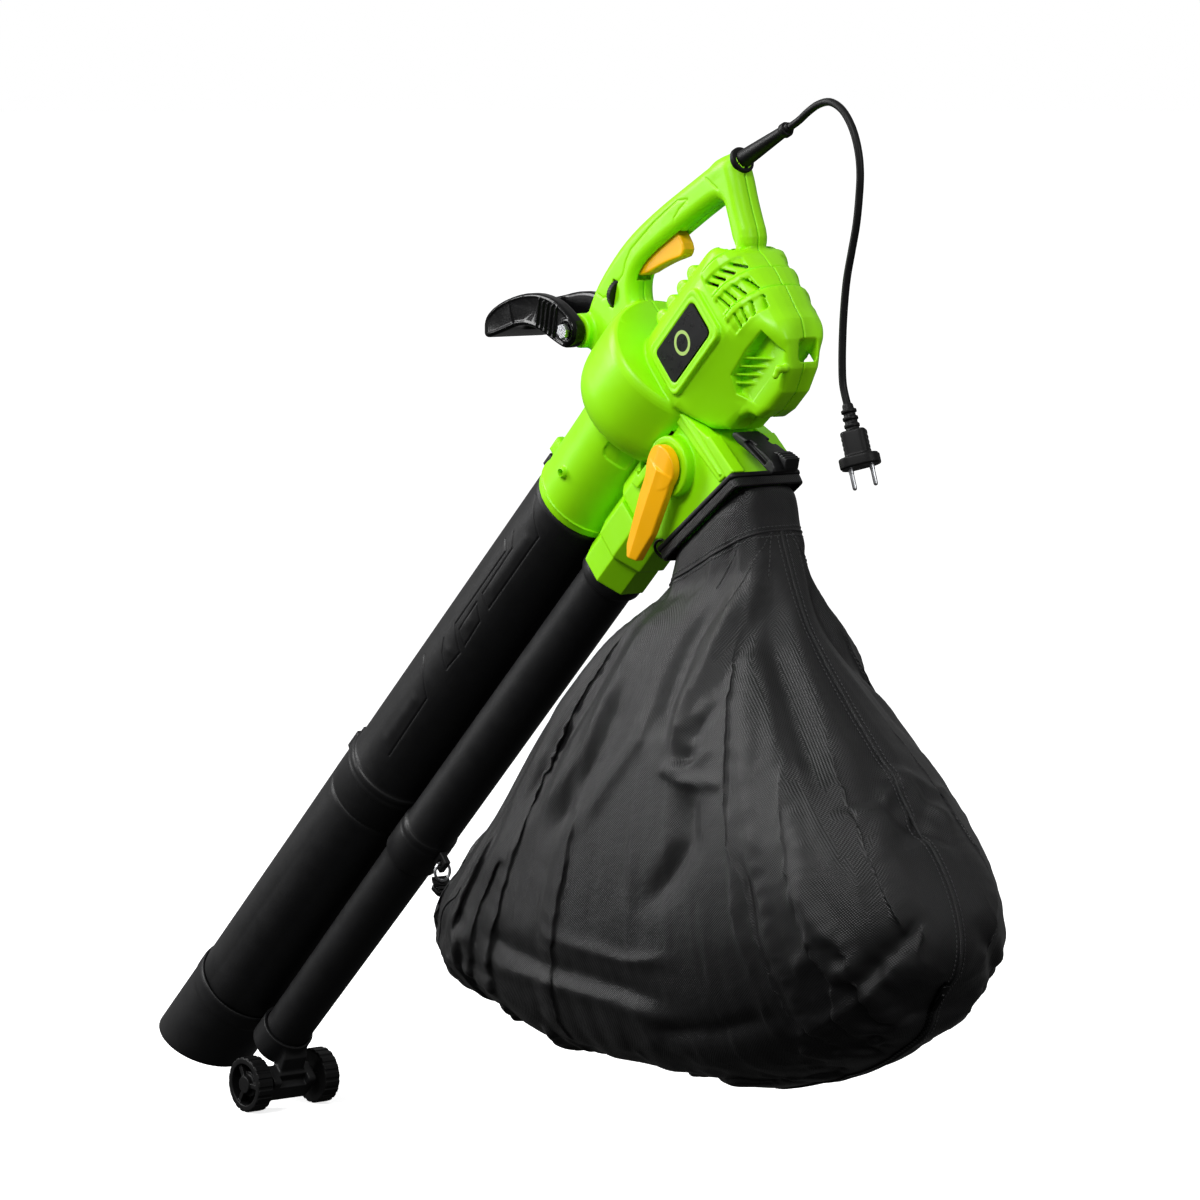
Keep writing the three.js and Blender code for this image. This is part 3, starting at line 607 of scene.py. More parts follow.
class Paint:
    """Builds a node material step by step."""

    def __init__(self, name, base, rough, metallic=0.0):
        self.material = bpy.data.materials.new(name)
        self.material.use_nodes = True
        self.tree = self.material.node_tree
        self.shader = self.tree.nodes["Principled BSDF"]
        self.shader.inputs["Base Color"].default_value = (*base, 1)
        self.shader.inputs["Roughness"].default_value = rough
        self.shader.inputs["Metallic"].default_value = metallic
        self.base = base
        self.coords = self.tree.nodes.new("ShaderNodeTexCoord").outputs["Object"]
        self.height = None

    def node(self, kind, **settings):
        made = self.tree.nodes.new(kind)
        for key, value in settings.items():
            setattr(made, key, value)
        return made

    def link(self, a, b):
        self.tree.links.new(a, b)

    def noise(self, scale, detail=3.0, rough=0.5, stretch=None):
        n = self.node("ShaderNodeTexNoise")
        n.inputs["Scale"].default_value = scale
        n.inputs["Detail"].default_value = detail
        n.inputs["Roughness"].default_value = rough
        if stretch:
            place = self.node("ShaderNodeMapping")
            place.inputs["Rotation"].default_value = (0, -SLOPE, 0)
            place.inputs["Scale"].default_value = stretch
            self.link(self.coords, place.inputs["Vector"])
            self.link(place.outputs["Vector"], n.inputs["Vector"])
        else:
            self.link(self.coords, n.inputs["Vector"])
        return n.outputs["Fac"]

    def spread(self, value, low, high, start=0.3, stop=0.7):
        m = self.node("ShaderNodeMapRange")
        m.inputs["From Min"].default_value, m.inputs["From Max"].default_value = start, stop
        m.inputs["To Min"].default_value, m.inputs["To Max"].default_value = low, high
        self.link(value, m.inputs["Value"])
        return m.outputs["Result"]

    def colours(self, value, *stops):
        ramp = self.node("ShaderNodeValToRGB")
        ramp.color_ramp.elements[0].position, ramp.color_ramp.elements[0].color = stops[0][0], (*stops[0][1], 1)
        ramp.color_ramp.elements[1].position, ramp.color_ramp.elements[1].color = stops[-1][0], (*stops[-1][1], 1)
        for place, colour in stops[1:-1]:
            ramp.color_ramp.elements.new(place).color = (*colour, 1)
        self.link(value, ramp.inputs["Fac"])
        return ramp.outputs["Color"]

    def mix(self, share, a, b):
        m = self.node("ShaderNodeMix", data_type="RGBA")
        for socket, value in ((m.inputs["Factor"], share), (m.inputs["A"], a), (m.inputs["B"], b)):
            if isinstance(value, tuple):
                socket.default_value = (*value, 1)
            elif isinstance(value, float):
                socket.default_value = value
            else:
                self.link(value, socket)
        return m.outputs["Result"]

    def math(self, operation, a, b=0.0):
        m = self.node("ShaderNodeMath", operation=operation)
        for socket, value in zip(m.inputs, (a, b)):
            if isinstance(value, (int, float)):
                socket.default_value = value
            else:
                self.link(value, socket)
        return m.outputs[0]

    def bump(self, value, distance, strength=1.0):
        b = self.node("ShaderNodeBump")
        b.inputs["Distance"].default_value = distance
        b.inputs["Strength"].default_value = strength
        self.link(value, b.inputs["Height"])
        if self.height is not None:
            self.link(self.height, b.inputs["Normal"])
        self.height = b.outputs["Normal"]
        self.link(self.height, self.shader.inputs["Normal"])

    def rough(self, value):
        self.link(value, self.shader.inputs["Roughness"])

    def colour(self, value):
        self.link(value, self.shader.inputs["Base Color"])


def shade(base, k):
    return tuple(min(1.0, c * k) for c in base)


def moulded(name, base, low, high, grain, depth, shine=0.3, wear=0.12):
    """Moulded plastic: an eroded grain, faint flow marks and slightly rubbed edges."""
    p = Paint(name, base, low)
    cloudy = p.colours(p.noise(9, 4), (0.3, shade(base, 0.93)), (0.7, shade(base, 1.05)))
    edge = p.node("ShaderNodeNewGeometry").outputs["Pointiness"]
    rubbed = p.spread(edge, 0.0, wear, 0.53, 0.62)
    p.colour(p.mix(rubbed, cloudy, tuple(min(1.0, c * 1.3 + 0.02) for c in base)))
    p.rough(p.spread(p.noise(60, 5, 0.6), low, high))
    p.bump(p.noise(grain, 2), depth, 0.8)
    p.bump(p.noise(14, 2), 0.0004, 0.35)
    p.shader.inputs["Specular IOR Level"].default_value = shine
    return p.material


def make_paints():
    paints = {
        "green": moulded("GreenPlastic", (0.32, 0.86, 0.002), 0.30, 0.42, 2600, 0.00003),
        "orange": moulded("OrangePlastic", (0.95, 0.45, 0.001), 0.30, 0.42, 2600, 0.00003),
        "black": moulded("BlackPlastic", (0.0065, 0.0065, 0.007), 0.40, 0.54, 1500, 0.00008, wear=0.03),
        "gloss": moulded("GlossBlack", (0.002, 0.002, 0.0022), 0.17, 0.23, 300, 0.000002, 0.2, 0.0),
        "rubber": moulded("BlackRubber", (0.004, 0.004, 0.0042), 0.38, 0.55, 1200, 0.00006, 0.2, 0.03),
    }

    steel = Paint("BrushedSteel", (0.62, 0.63, 0.65), 0.3, 1.0)
    steel.rough(steel.spread(steel.noise(400, 3, 0.6, (0.1, 3, 0.1)), 0.2, 0.4))
    steel.bump(steel.noise(700, 2, 0.5, (0.1, 2, 0.1)), 0.00004, 0.6)
    paints["steel"] = steel.material

    copper = Paint("WoundCopper", (0.72, 0.32, 0.15), 0.35, 1.0)
    wire = copper.node("ShaderNodeTexWave", bands_direction="X")
    wire.inputs["Scale"].default_value = 260
    wire.inputs["Distortion"].default_value = 1.5
    copper.link(copper.coords, wire.inputs["Vector"])
    copper.colour(copper.colours(wire.outputs["Fac"], (0.2, (0.35, 0.13, 0.05)), (0.7, (0.78, 0.36, 0.17))))
    copper.bump(wire.outputs["Fac"], 0.0004)
    copper.rough(copper.spread(copper.noise(300), 0.28, 0.5))
    paints["copper"] = copper.material

    lamination = Paint("Laminations", (0.3, 0.31, 0.33), 0.45, 0.9)
    leaves = lamination.node("ShaderNodeTexWave", bands_direction="X")
    leaves.inputs["Scale"].default_value = 300
    turned = lamination.node("ShaderNodeMapping")
    turned.inputs["Rotation"].default_value = (0, -SLOPE, 0)
    lamination.link(lamination.coords, turned.inputs["Vector"])
    lamination.link(turned.outputs["Vector"], leaves.inputs["Vector"])
    lamination.colour(lamination.colours(leaves.outputs["Fac"], (0.3, (0.12, 0.12, 0.13)), (0.8, (0.4, 0.41, 0.43))))
    lamination.bump(leaves.outputs["Fac"], 0.0002)
    paints["laminations"] = lamination.material

    board = Paint("CircuitBoard", (0.02, 0.16, 0.06), 0.35)
    tracks = board.node("ShaderNodeTexBrick")
    tracks.inputs["Scale"].default_value = 260
    board.link(board.coords, tracks.inputs["Vector"])
    board.colour(board.mix(tracks.outputs["Fac"], (0.015, 0.13, 0.05), (0.05, 0.3, 0.1)))
    paints["board"] = board.material

    paints["fabric"] = woven("BagFabric", 0.0024, (0.0022, 0.0022, 0.0025), (0.0085, 0.0085, 0.009))
    paints["webbing"] = woven("Webbing", 0.0016, (0.004, 0.004, 0.0045), (0.016, 0.016, 0.017))
    thread = Paint("Thread", (0.05, 0.05, 0.052), 0.7)
    thread.bump(thread.noise(3000), 0.0001)
    thread.colour(thread.colours(thread.noise(500), (0.3, (0.03, 0.03, 0.032)), (0.7, (0.07, 0.07, 0.072))))
    paints["thread"] = thread.material
    paints["label"] = label_paint()
    return paints


def woven(name, pitch, dark, light):
    """Coated cloth whose threads cross along the row axes of each face."""
    p = Paint(name, dark, 0.5)
    xyz = p.node("ShaderNodeSeparateXYZ")
    p.link(p.coords, xyz.inputs[0])
    facing = p.node("ShaderNodeSeparateXYZ")
    p.link(p.node("ShaderNodeNewGeometry").outputs["Normal"], facing.inputs[0])
    nx, ny, nz = (p.math("ABSOLUTE", facing.outputs[i]) for i in range(3))
    level = p.math("GREATER_THAN", nz, 0.8)
    endways = p.math("GREATER_THAN", nx, ny)

    def pick(share, a, b):
        return p.math("ADD", p.math("MULTIPLY", a, p.math("SUBTRACT", 1.0, share)), p.math("MULTIPLY", b, share))

    u = pick(endways, xyz.outputs[0], xyz.outputs[1])
    v = pick(level, xyz.outputs[2], xyz.outputs[1])
    rate = 2 * math.pi / pitch
    su = p.math("SINE", p.math("MULTIPLY", u, rate))
    sv = p.math("SINE", p.math("MULTIPLY", v, rate))
    crossing = p.math("MULTIPLY", su, sv)
    height = p.spread(crossing, 0.0, 1.0, -1.0, 1.0)
    blotch = p.noise(16, 4, 0.6)
    lift = p.math("MULTIPLY", height, p.spread(blotch, 0.6, 1.0))
    p.colour(p.colours(lift, (0.25, dark), (0.95, light)))
    p.rough(p.spread(height, 0.52, 0.30, 0.0, 1.0))
    p.bump(p.noise(38, 3, 0.55), 0.004, 0.35)
    p.bump(height, 0.0005, 0.7)
    p.shader.inputs["Specular IOR Level"].default_value = 0.36
    p.shader.inputs["Sheen Weight"].default_value = 0.02
    return p.material


def label_paint():
    """A satin black plate with a plain pale ring."""
    p = Paint("LabelFilm", (0.003, 0.003, 0.0035), 0.3)
    p.shader.inputs["Specular IOR Level"].default_value = 0.16
    centre = at(-130.5, 0, -28)
    shift = p.node("ShaderNodeVectorMath", operation="SUBTRACT")
    p.link(p.coords, shift.inputs[0])
    shift.inputs[1].default_value = (centre.x, 0, centre.z)
    flat = p.node("ShaderNodeVectorMath", operation="MULTIPLY")
    p.link(shift.outputs[0], flat.inputs[0])
    flat.inputs[1].default_value = (1, 0, 1)
    far = p.node("ShaderNodeVectorMath", operation="LENGTH")
    p.link(flat.outputs[0], far.inputs[0])
    off = p.math("ABSOLUTE", p.math("SUBTRACT", far.outputs["Value"], 0.0098))
    ring = p.math("LESS_THAN", off, 0.0016)
    p.colour(p.mix(ring, (0.003, 0.003, 0.0035), (0.42, 0.62, 0.16)))
    p.rough(p.spread(p.noise(120), 0.26, 0.32))
    return p.material


# ---- Small mesh builders ----

def turned_mesh(name, profile, z=0.0, y=0.0, sides=96, matrix=TOOL, radius=None, angles=None):
    """A closed profile of (x, radius) pairs turned about a line along x. radius(x, angle) may add to it."""
    points, faces = [], []
    n = len(profile)
    angles = angles or [2 * math.pi * i / sides for i in range(sides)]
    sides = len(angles)
    for angle in angles:
        for x, r in profile:
            rr = r + (radius(x, r, angle) if radius else 0)
            points.append((x, y + rr * math.cos(angle), z + rr * math.sin(angle)))
    for i in range(sides):
        j = (i + 1) % sides
        for k in range(n):
            m = (k + 1) % n
            faces.append((i * n + k, i * n + m, j * n + m, j * n + k))
    ob = mesh_object(name, points, faces, matrix)
    tidy_normals(ob)
    return ob


def tidy_normals(ob, angle=38):
    shape = bmesh.new()
    shape.from_mesh(ob.data)
    bmesh.ops.remove_doubles(shape, verts=shape.verts, dist=1e-7)
    bmesh.ops.recalc_face_normals(shape, faces=shape.faces)
    shape.to_mesh(ob.data)
    shape.free()
    ob.data.shade_smooth()
    ob.data.set_sharp_from_angle(angle=math.radians(angle))
    return ob


def sweep_points(points, count):
    """A smooth line through the points, at count even steps."""
    pts = [Vector(p) for p in points]
    fine = []
    for i in range(len(pts) - 1):
        a, b = pts[max(i - 1, 0)], pts[i]
        c, d = pts[i + 1], pts[min(i + 2, len(pts) - 1)]
        for s in range(16):
            t = s / 16
            fine.append(0.5 * ((2 * b) + (c - a) * t + (2 * a - 5 * b + 4 * c - d) * t * t
                               + (3 * b - a - 3 * c + d) * t ** 3))
    fine.append(pts[-1])
    lengths = [0.0]
    for a, b in zip(fine, fine[1:]):
        lengths.append(lengths[-1] + (b - a).length)
    out, k = [], 0
    for i in range(count):
        want = lengths[-1] * i / (count - 1)
        while k < len(fine) - 2 and lengths[k + 1] < want:
            k += 1
        share = (want - lengths[k]) / max(lengths[k + 1] - lengths[k], 1e-9)
        out.append(fine[k].lerp(fine[k + 1], min(1.0, share)))
    return out


def tube_mesh(name, points, radius, sides=12, matrix=WORLD, flat=1.0, up=None, closed=False):
    """A tube along millimetre points. radius is a number or radius(share). flat squeezes it across up."""
    pts = [Vector(p) for p in points]
    verts, faces = [], []
    side = None
    count = len(pts)
    for i, p in enumerate(pts):
        if closed:
            along = (pts[(i + 1) % count] - pts[i - 1]).normalized()
        else:
            along = (pts[min(i + 1, count - 1)] - pts[max(i - 1, 0)]).normalized()
        if up is not None:
            side = along.cross(Vector(up)).normalized()
        elif side is None:
            side = along.orthogonal().normalized()
        else:
            side = (side - along * side.dot(along)).normalized()
        other = along.cross(side)
        r = radius(i / max(count - 1, 1)) if callable(radius) else radius
        for k in range(sides):
            a = 2 * math.pi * k / sides
            verts.append(p + side * (r * math.cos(a)) + other * (r * flat * math.sin(a)))
    last = count if closed else count - 1
    for i in range(last):
        j = (i + 1) % count
        for k in range(sides):
            m = (k + 1) % sides
            faces.append((i * sides + k, i * sides + m, j * sides + m, j * sides + k))
    if not closed:
        faces.append(tuple(range(sides))[::-1])
        faces.append(tuple((count - 1) * sides + k for k in range(sides)))
    return tidy_normals(mesh_object(name, verts, faces, matrix), 50)


def join_meshes(name, parts):
    """Several objects' meshes in one object."""
    shape = bmesh.new()
    for part in parts:
        shape.from_mesh(part.data)
    mesh = bpy.data.meshes.new(name)
    shape.to_mesh(mesh)
    shape.free()
    mesh.shade_smooth()
    mesh.set_sharp_from_angle(angle=math.radians(40))
    for part in parts:
        bpy.data.objects.remove(part)
    ob = bpy.data.objects.new(name, mesh)
    bpy.context.scene.collection.objects.link(ob)
    return ob


# ---- Outlet housing and blow socket ----

LEVER = (-31.0, -90.0)
BLOW_Z = -78.6


def outlet_clay():
    clay = Clay((-106, -48, -158), (58, 48, -36), 0.9)
    slab = [(-74, -50), (-78, -62), (-89, -153), (30, -137), (30, -126), (50, -110), (50, -45), (0, -40)]
    waist = [(-110, -50), (-4, -50), (16, -35), (60, -30), (60, 30), (16, 35), (-4, 50), (-110, 50)]
    shoulder = [(-33, -60), (-22, -44), (22, -44), (33, -60), (33, -180), (-33, -180)]
    clay.add(common(prism(slab, -33, 33, "y", 4), prism(waist, -180, 0, "z"), prism(shoulder, -120, 80, "x"), blend=3))
    flange = [(-70, -52), (-79, -60), (-88.5, -146), (-72, -143), (-62, -66)]
    clay.add(prism(flange, -36.5, 36.5, "y", 1), blend=1.5)
    for sign in (1, -1):
        strip = [(-81, -76), (-89, -79), (-96, -150), (-84, -149)]
        clay.add(prism(strip, *sorted((sign * 24, sign * 38.4)), "y", 1.2), blend=1)
        front = [(-70.5, -60), (-73.5, -60), (-80, -140), (-77, -140)]
        clay.add(prism(front, *sorted((sign * 33, sign * 37.8)), "y", 0.8), blend=1)
        fin = [(4, -49), (-3, -60), (-4, -72), (22, -72), (26, -62), (14, -60)]
        clay.add(prism(fin, *sorted((sign * 30, sign * 37)), "y", 1), blend=1)
    clay.add(pin(*LEVER, 28, 33, 43.4, 1.5), blend=3)
    clay.cut(pin(*LEVER, 21.6, 42.4, 50), blend=0.4)
    clay.cut(lathe([(-110, 0), (-110, 73.5), (12.5, 73.5), (12.5, 0)]))
    clay.cut(lathe([(12, 0), (12, 50.8), (140, 50.8), (140, 0)]))
    duct_side = [(-66, -40), (-72, -66), (-83, -146), (-83, -170), (25, -170), (25, -130), (39, -110), (39, -40)]
    duct_plan = [(-110, -50), (-4, -50), (16, -31), (60, -26), (60, 26), (16, 31), (-4, 50), (-110, 50)]
    duct_roof = [(-30, -64), (-18, -48), (18, -48), (30, -64), (30, -180), (-30, -180)]
    clay.cut(common(prism(duct_side, -30, 30), prism(duct_plan, -180, 0, "z"), prism(duct_roof, -120, 80, "x")))
    clay.cut(lathe([(20, 0), (20, 26), (70, 26), (70, 0)], z=BLOW_Z))
    clay.cut(pin(*LEVER, 5.2, 28, 50))
    motor_side = [(-69.5, -20), (-69.5, -30), (-72.4, -58.2), (-89.6, -104.6), (-127, -108.6), (-160, -128), (-160, -20)]
    clay.cut(prism(motor_side, -60, 60))
    return clay


def socket_clay():
    clay = Clay((46, -42, -120), (136, 42, -38), 0.9)
    wide = [(a, b + BLOW_Z) for a, b in arc(0, 0, 37, 22.5, 337.5, 7)]
    narrow = [(a, b + BLOW_Z) for a, b in arc(0, 0, 33.6, 22.5, 337.5, 7)]
    clay.add(prism(wide, 50.4, 96, "x", 1.2))
    clay.add(prism(narrow, 80, 133, "x", 1.2), blend=4)
    clay.cut(lathe([(40, 0), (40, 27.2), (140, 27.2), (140, 0)], z=BLOW_Z), blend=0.6)
    clay.cut(lathe([(12, 0), (12, 49.3), (200, 49.3), (200, 0)]))
    clay.cut(block(40, 140, -40, 40, -49.4, -20))
    return clay


def make_outlet(paints):
    piece = carve("Casing_outlet", outlet_clay(), 0.35)
    finish_piece(piece, paints["green"], "chassis", ["outlet_housing"])
    piece = carve("Casing_blow_socket", socket_clay(), 0.35)
    finish_piece(piece, paints["green"], "chassis", ["blow_socket"])


# ---- Selector lever, trigger and dial ----

def make_controls(paints):
    x, z = LEVER
    clay = Clay((-56, 42, -152), (66, 60, -66), 0.7)
    blade = [(0, 15), (34, 14.5), (86, 9), (95, 2), (92, -11), (60, -18.5), (20, -20), (0, -20)]
    blade = [(x + a, z + b) for a, b in spun(blade, 20)]
    lean = math.radians(20)
    along = (math.cos(lean), -math.sin(lean))
    off = (math.sin(lean), math.cos(lean))

    def roof(px, py, pz):
        across = (px - x) * off[0] + (pz - z) * off[1] + 3
        down = (px - x) * along[0] + (pz - z) * along[1]
        ridge = 57.2 - 0.30 * np.abs(across) - 0.02 * np.maximum(down - 40, 0)
        return (py - ridge) * 0.95

    ridge = Shape((-60, 40, -160), (70, 60, -60), roof)
    clay.add(common(prism(blade, 45, 58, "y", 1), ridge, blend=1.2))
    head = common(pin(x, z, 20.5, 44, 54.5, 1.2), ridge, blend=1)
    clay.add(head, blend=1.5)
    clay.cut(pin(x, z, 5.0, 40, 50))
    piece = carve("SelectorLever", clay, 0.4)
    finish_piece(piece, paints["orange"], "selector", ["selector_lever"])

    clay = Clay((-158, -9, 56), (-76, 9, 110), 0.6)
    wedge = [(-84, 99), (-81, 94), (-92, 86), (-108, 80), (-124, 73), (-136, 66.5), (-143, 63), (-151, 67),
             (-153, 84), (-146, 98), (-92, 106)]
    clay.add(prism(soften(wedge, 1), -7, 7, "y", 2.2))
    for i in range(4):
        clay.line([(-118 - 6 * i, -8, 74.5 - 2.9 * i), (-118 - 6 * i, 8, 74.5 - 2.9 * i)], 0.8, 0.6)
    piece = carve("TriggerBlade", clay, 0.45)
    finish_piece(piece, paints["orange"], "trigger", ["trigger"])

    teeth = 30
    rim = []
    for i in range(teeth * 6):
        a = 2 * math.pi * i / (teeth * 6)
        rim.append(13.6 - 0.7 * max(0.0, math.sin(teeth * a)) ** 2)
    points, faces = [], []
    rings = [(-2.4, 0.93), (-2.4, 0.97), (-1.9, 1.0), (1.9, 1.0), (2.4, 0.97), (2.4, 0.93)]
    n = len(rim)
    for w, scale in rings:
        for i, r in enumerate(rim):
            a = 2 * math.pi * i / n
            points.append((w, r * scale * math.cos(a), r * scale * math.sin(a)))
    for k in range(len(rings) - 1):
        for i in range(n):
            j = (i + 1) % n
            faces.append((k * n + i, k * n + j, (k + 1) * n + j, (k + 1) * n + i))
    faces.append(tuple(range(n))[::-1])
    faces.append(tuple((len(rings) - 1) * n + i for i in range(n)))
    dial_turn = Matrix.Translation((-52, 8, 98)) @ Matrix.Rotation(math.radians(-56.8), 4, "Y")
    piece = tidy_normals(mesh_object("SpeedDial", points, faces, TOOL @ dial_turn))
    finish_piece(piece, paints["black"], "dial", ["speed_dial"])


# ---- Front handle ----

def make_front_handle(paints):
    clay = Clay((-20, -41, -22), (142, 41, 40), 0.9)
    outline = soften([(-13, -9), (-14, 6), (-2, 16), (22, 30), (58, 35), (104, 24), (132, 6), (139, -5), (131, -13),
                      (104, -6), (72, 4), (44, 0), (18, -12), (2, -17)], 2)
    around = rounded(-42, 141, -38, 38, 24, 8)
    clay.add(common(prism(outline, -38, 38, "y", 3.2), prism(around, -60, 80, "z", 6), blend=5))
    clay.cut(prism(rounded(-60, 92, -24.2, 24.2, 15, 6), -60, 80, "z"), blend=3.5)
    panel = soften([(-9, -6), (-10, 4), (0, 12), (23, 26), (58, 31), (102, 20.5), (126, 4), (131, -4), (127, -8), (104, -2),
                    (72, 8), (44, 4), (19, -8), (3, -13)], 1)
    for sign in (1, -1):
        clay.cut(prism(panel, *sorted((sign * 36, sign * 50))), blend=0.8)
        clay.add(pin(0, 0, 12, *sorted((sign * 25, sign * 38.3)), 1.5), blend=1)
        clay.cut(pin(0, 0, 8.2, *sorted((sign * 37, sign * 50))), blend=0.5)
        for i in range(5):
            px, middle = 18 + 6.4 * i, 8 + 1.8 * i
            rib = [(px - 3.4, middle + 14), (px + 1.6, middle - 14), (px + 3.8, middle - 14), (px - 1.2, middle + 14)]
            clay.add(common(prism(rib, *sorted((sign * 30, sign * 37.8))), prism(outline, -40, 40)), blend=0.6)
        clay.line([(82, sign * 36, 2), (90, sign * 36, 30)], 1.2, 0.5)
    clay.cut(pin(0, 0, 3.4, -50, 50))
    where = Matrix.Translation(at(3, 0, 101) / MM)
    piece = carve("BailHandle", clay, 0.4, where)
    finish_piece(piece, paints["gloss"], "front_handle", ["front_handle"])


# ---- Tubes ----

# Lines of the moulded pattern on each side of the upper tube: (place along it, degrees up from its side).
PATTERN = [
    [(137, 20), (150, 0), (160, -20), (268, -20), (262, -2), (196, 0), (186, 14)],
    [(202, 20), (206, 6), (316, 6), (332, -22), (360, -20), (351, -3), (340, 8)],
    [(274, -2), (286, -20), (322, -22), (314, -4), (274, -2)],
    [(378, 20), (392, -2), (404, -21), (492, -23)],
]


def embossed(x, r, angle):
    """Fine grooves along the pattern, with the strips between them standing a little proud."""
    if r < 45.8 or not 134 < x < 499:
        return 0.0
    turn = math.degrees(angle)
    turn = (turn + 180) % 360 - 180
    up = turn if abs(turn) < 90 else (180 - abs(turn)) * (1 if turn > 0 else -1)
    if not -32 < up < 28:
        return 0.0
    s = up * 0.813
    out = 0.0
    for start, stop in ((166, 256), (334, 350), (410, 488), (288, 312)):
        along = min(1.0, max(0.0, min(x - start, stop - x) / 8))
        out = max(out, 0.8 * along * math.exp(-((up + 9) / 7) ** 2))
    best = 99.0
    for line in PATTERN:
        for (x0, a0), (x1, a1) in zip(line, line[1:]):
            s0, s1 = a0 * 0.813, a1 * 0.813
            dx, ds = x1 - x0, s1 - s0
            t = min(1.0, max(0.0, ((x - x0) * dx + (s - s0) * ds) / (dx * dx + ds * ds)))
            best = min(best, math.hypot(x - x0 - t * dx, s - s0 - t * ds))
    return out - 0.7 * math.exp(-(best / 0.9) ** 2)


def rounded_lip(profile, r=0.5):
    """The closed profile with each corner cut back a little."""
    out = []
    n = len(profile)
    for i in range(n):
        p = Vector(profile[i])
        for q in (Vector(profile[i - 1]), Vector(profile[(i + 1) % n])):
            step = (q - p)
            length = step.length
            out.append(tuple(p + step * min(r / max(length, 1e-6), 0.3)))
    return out


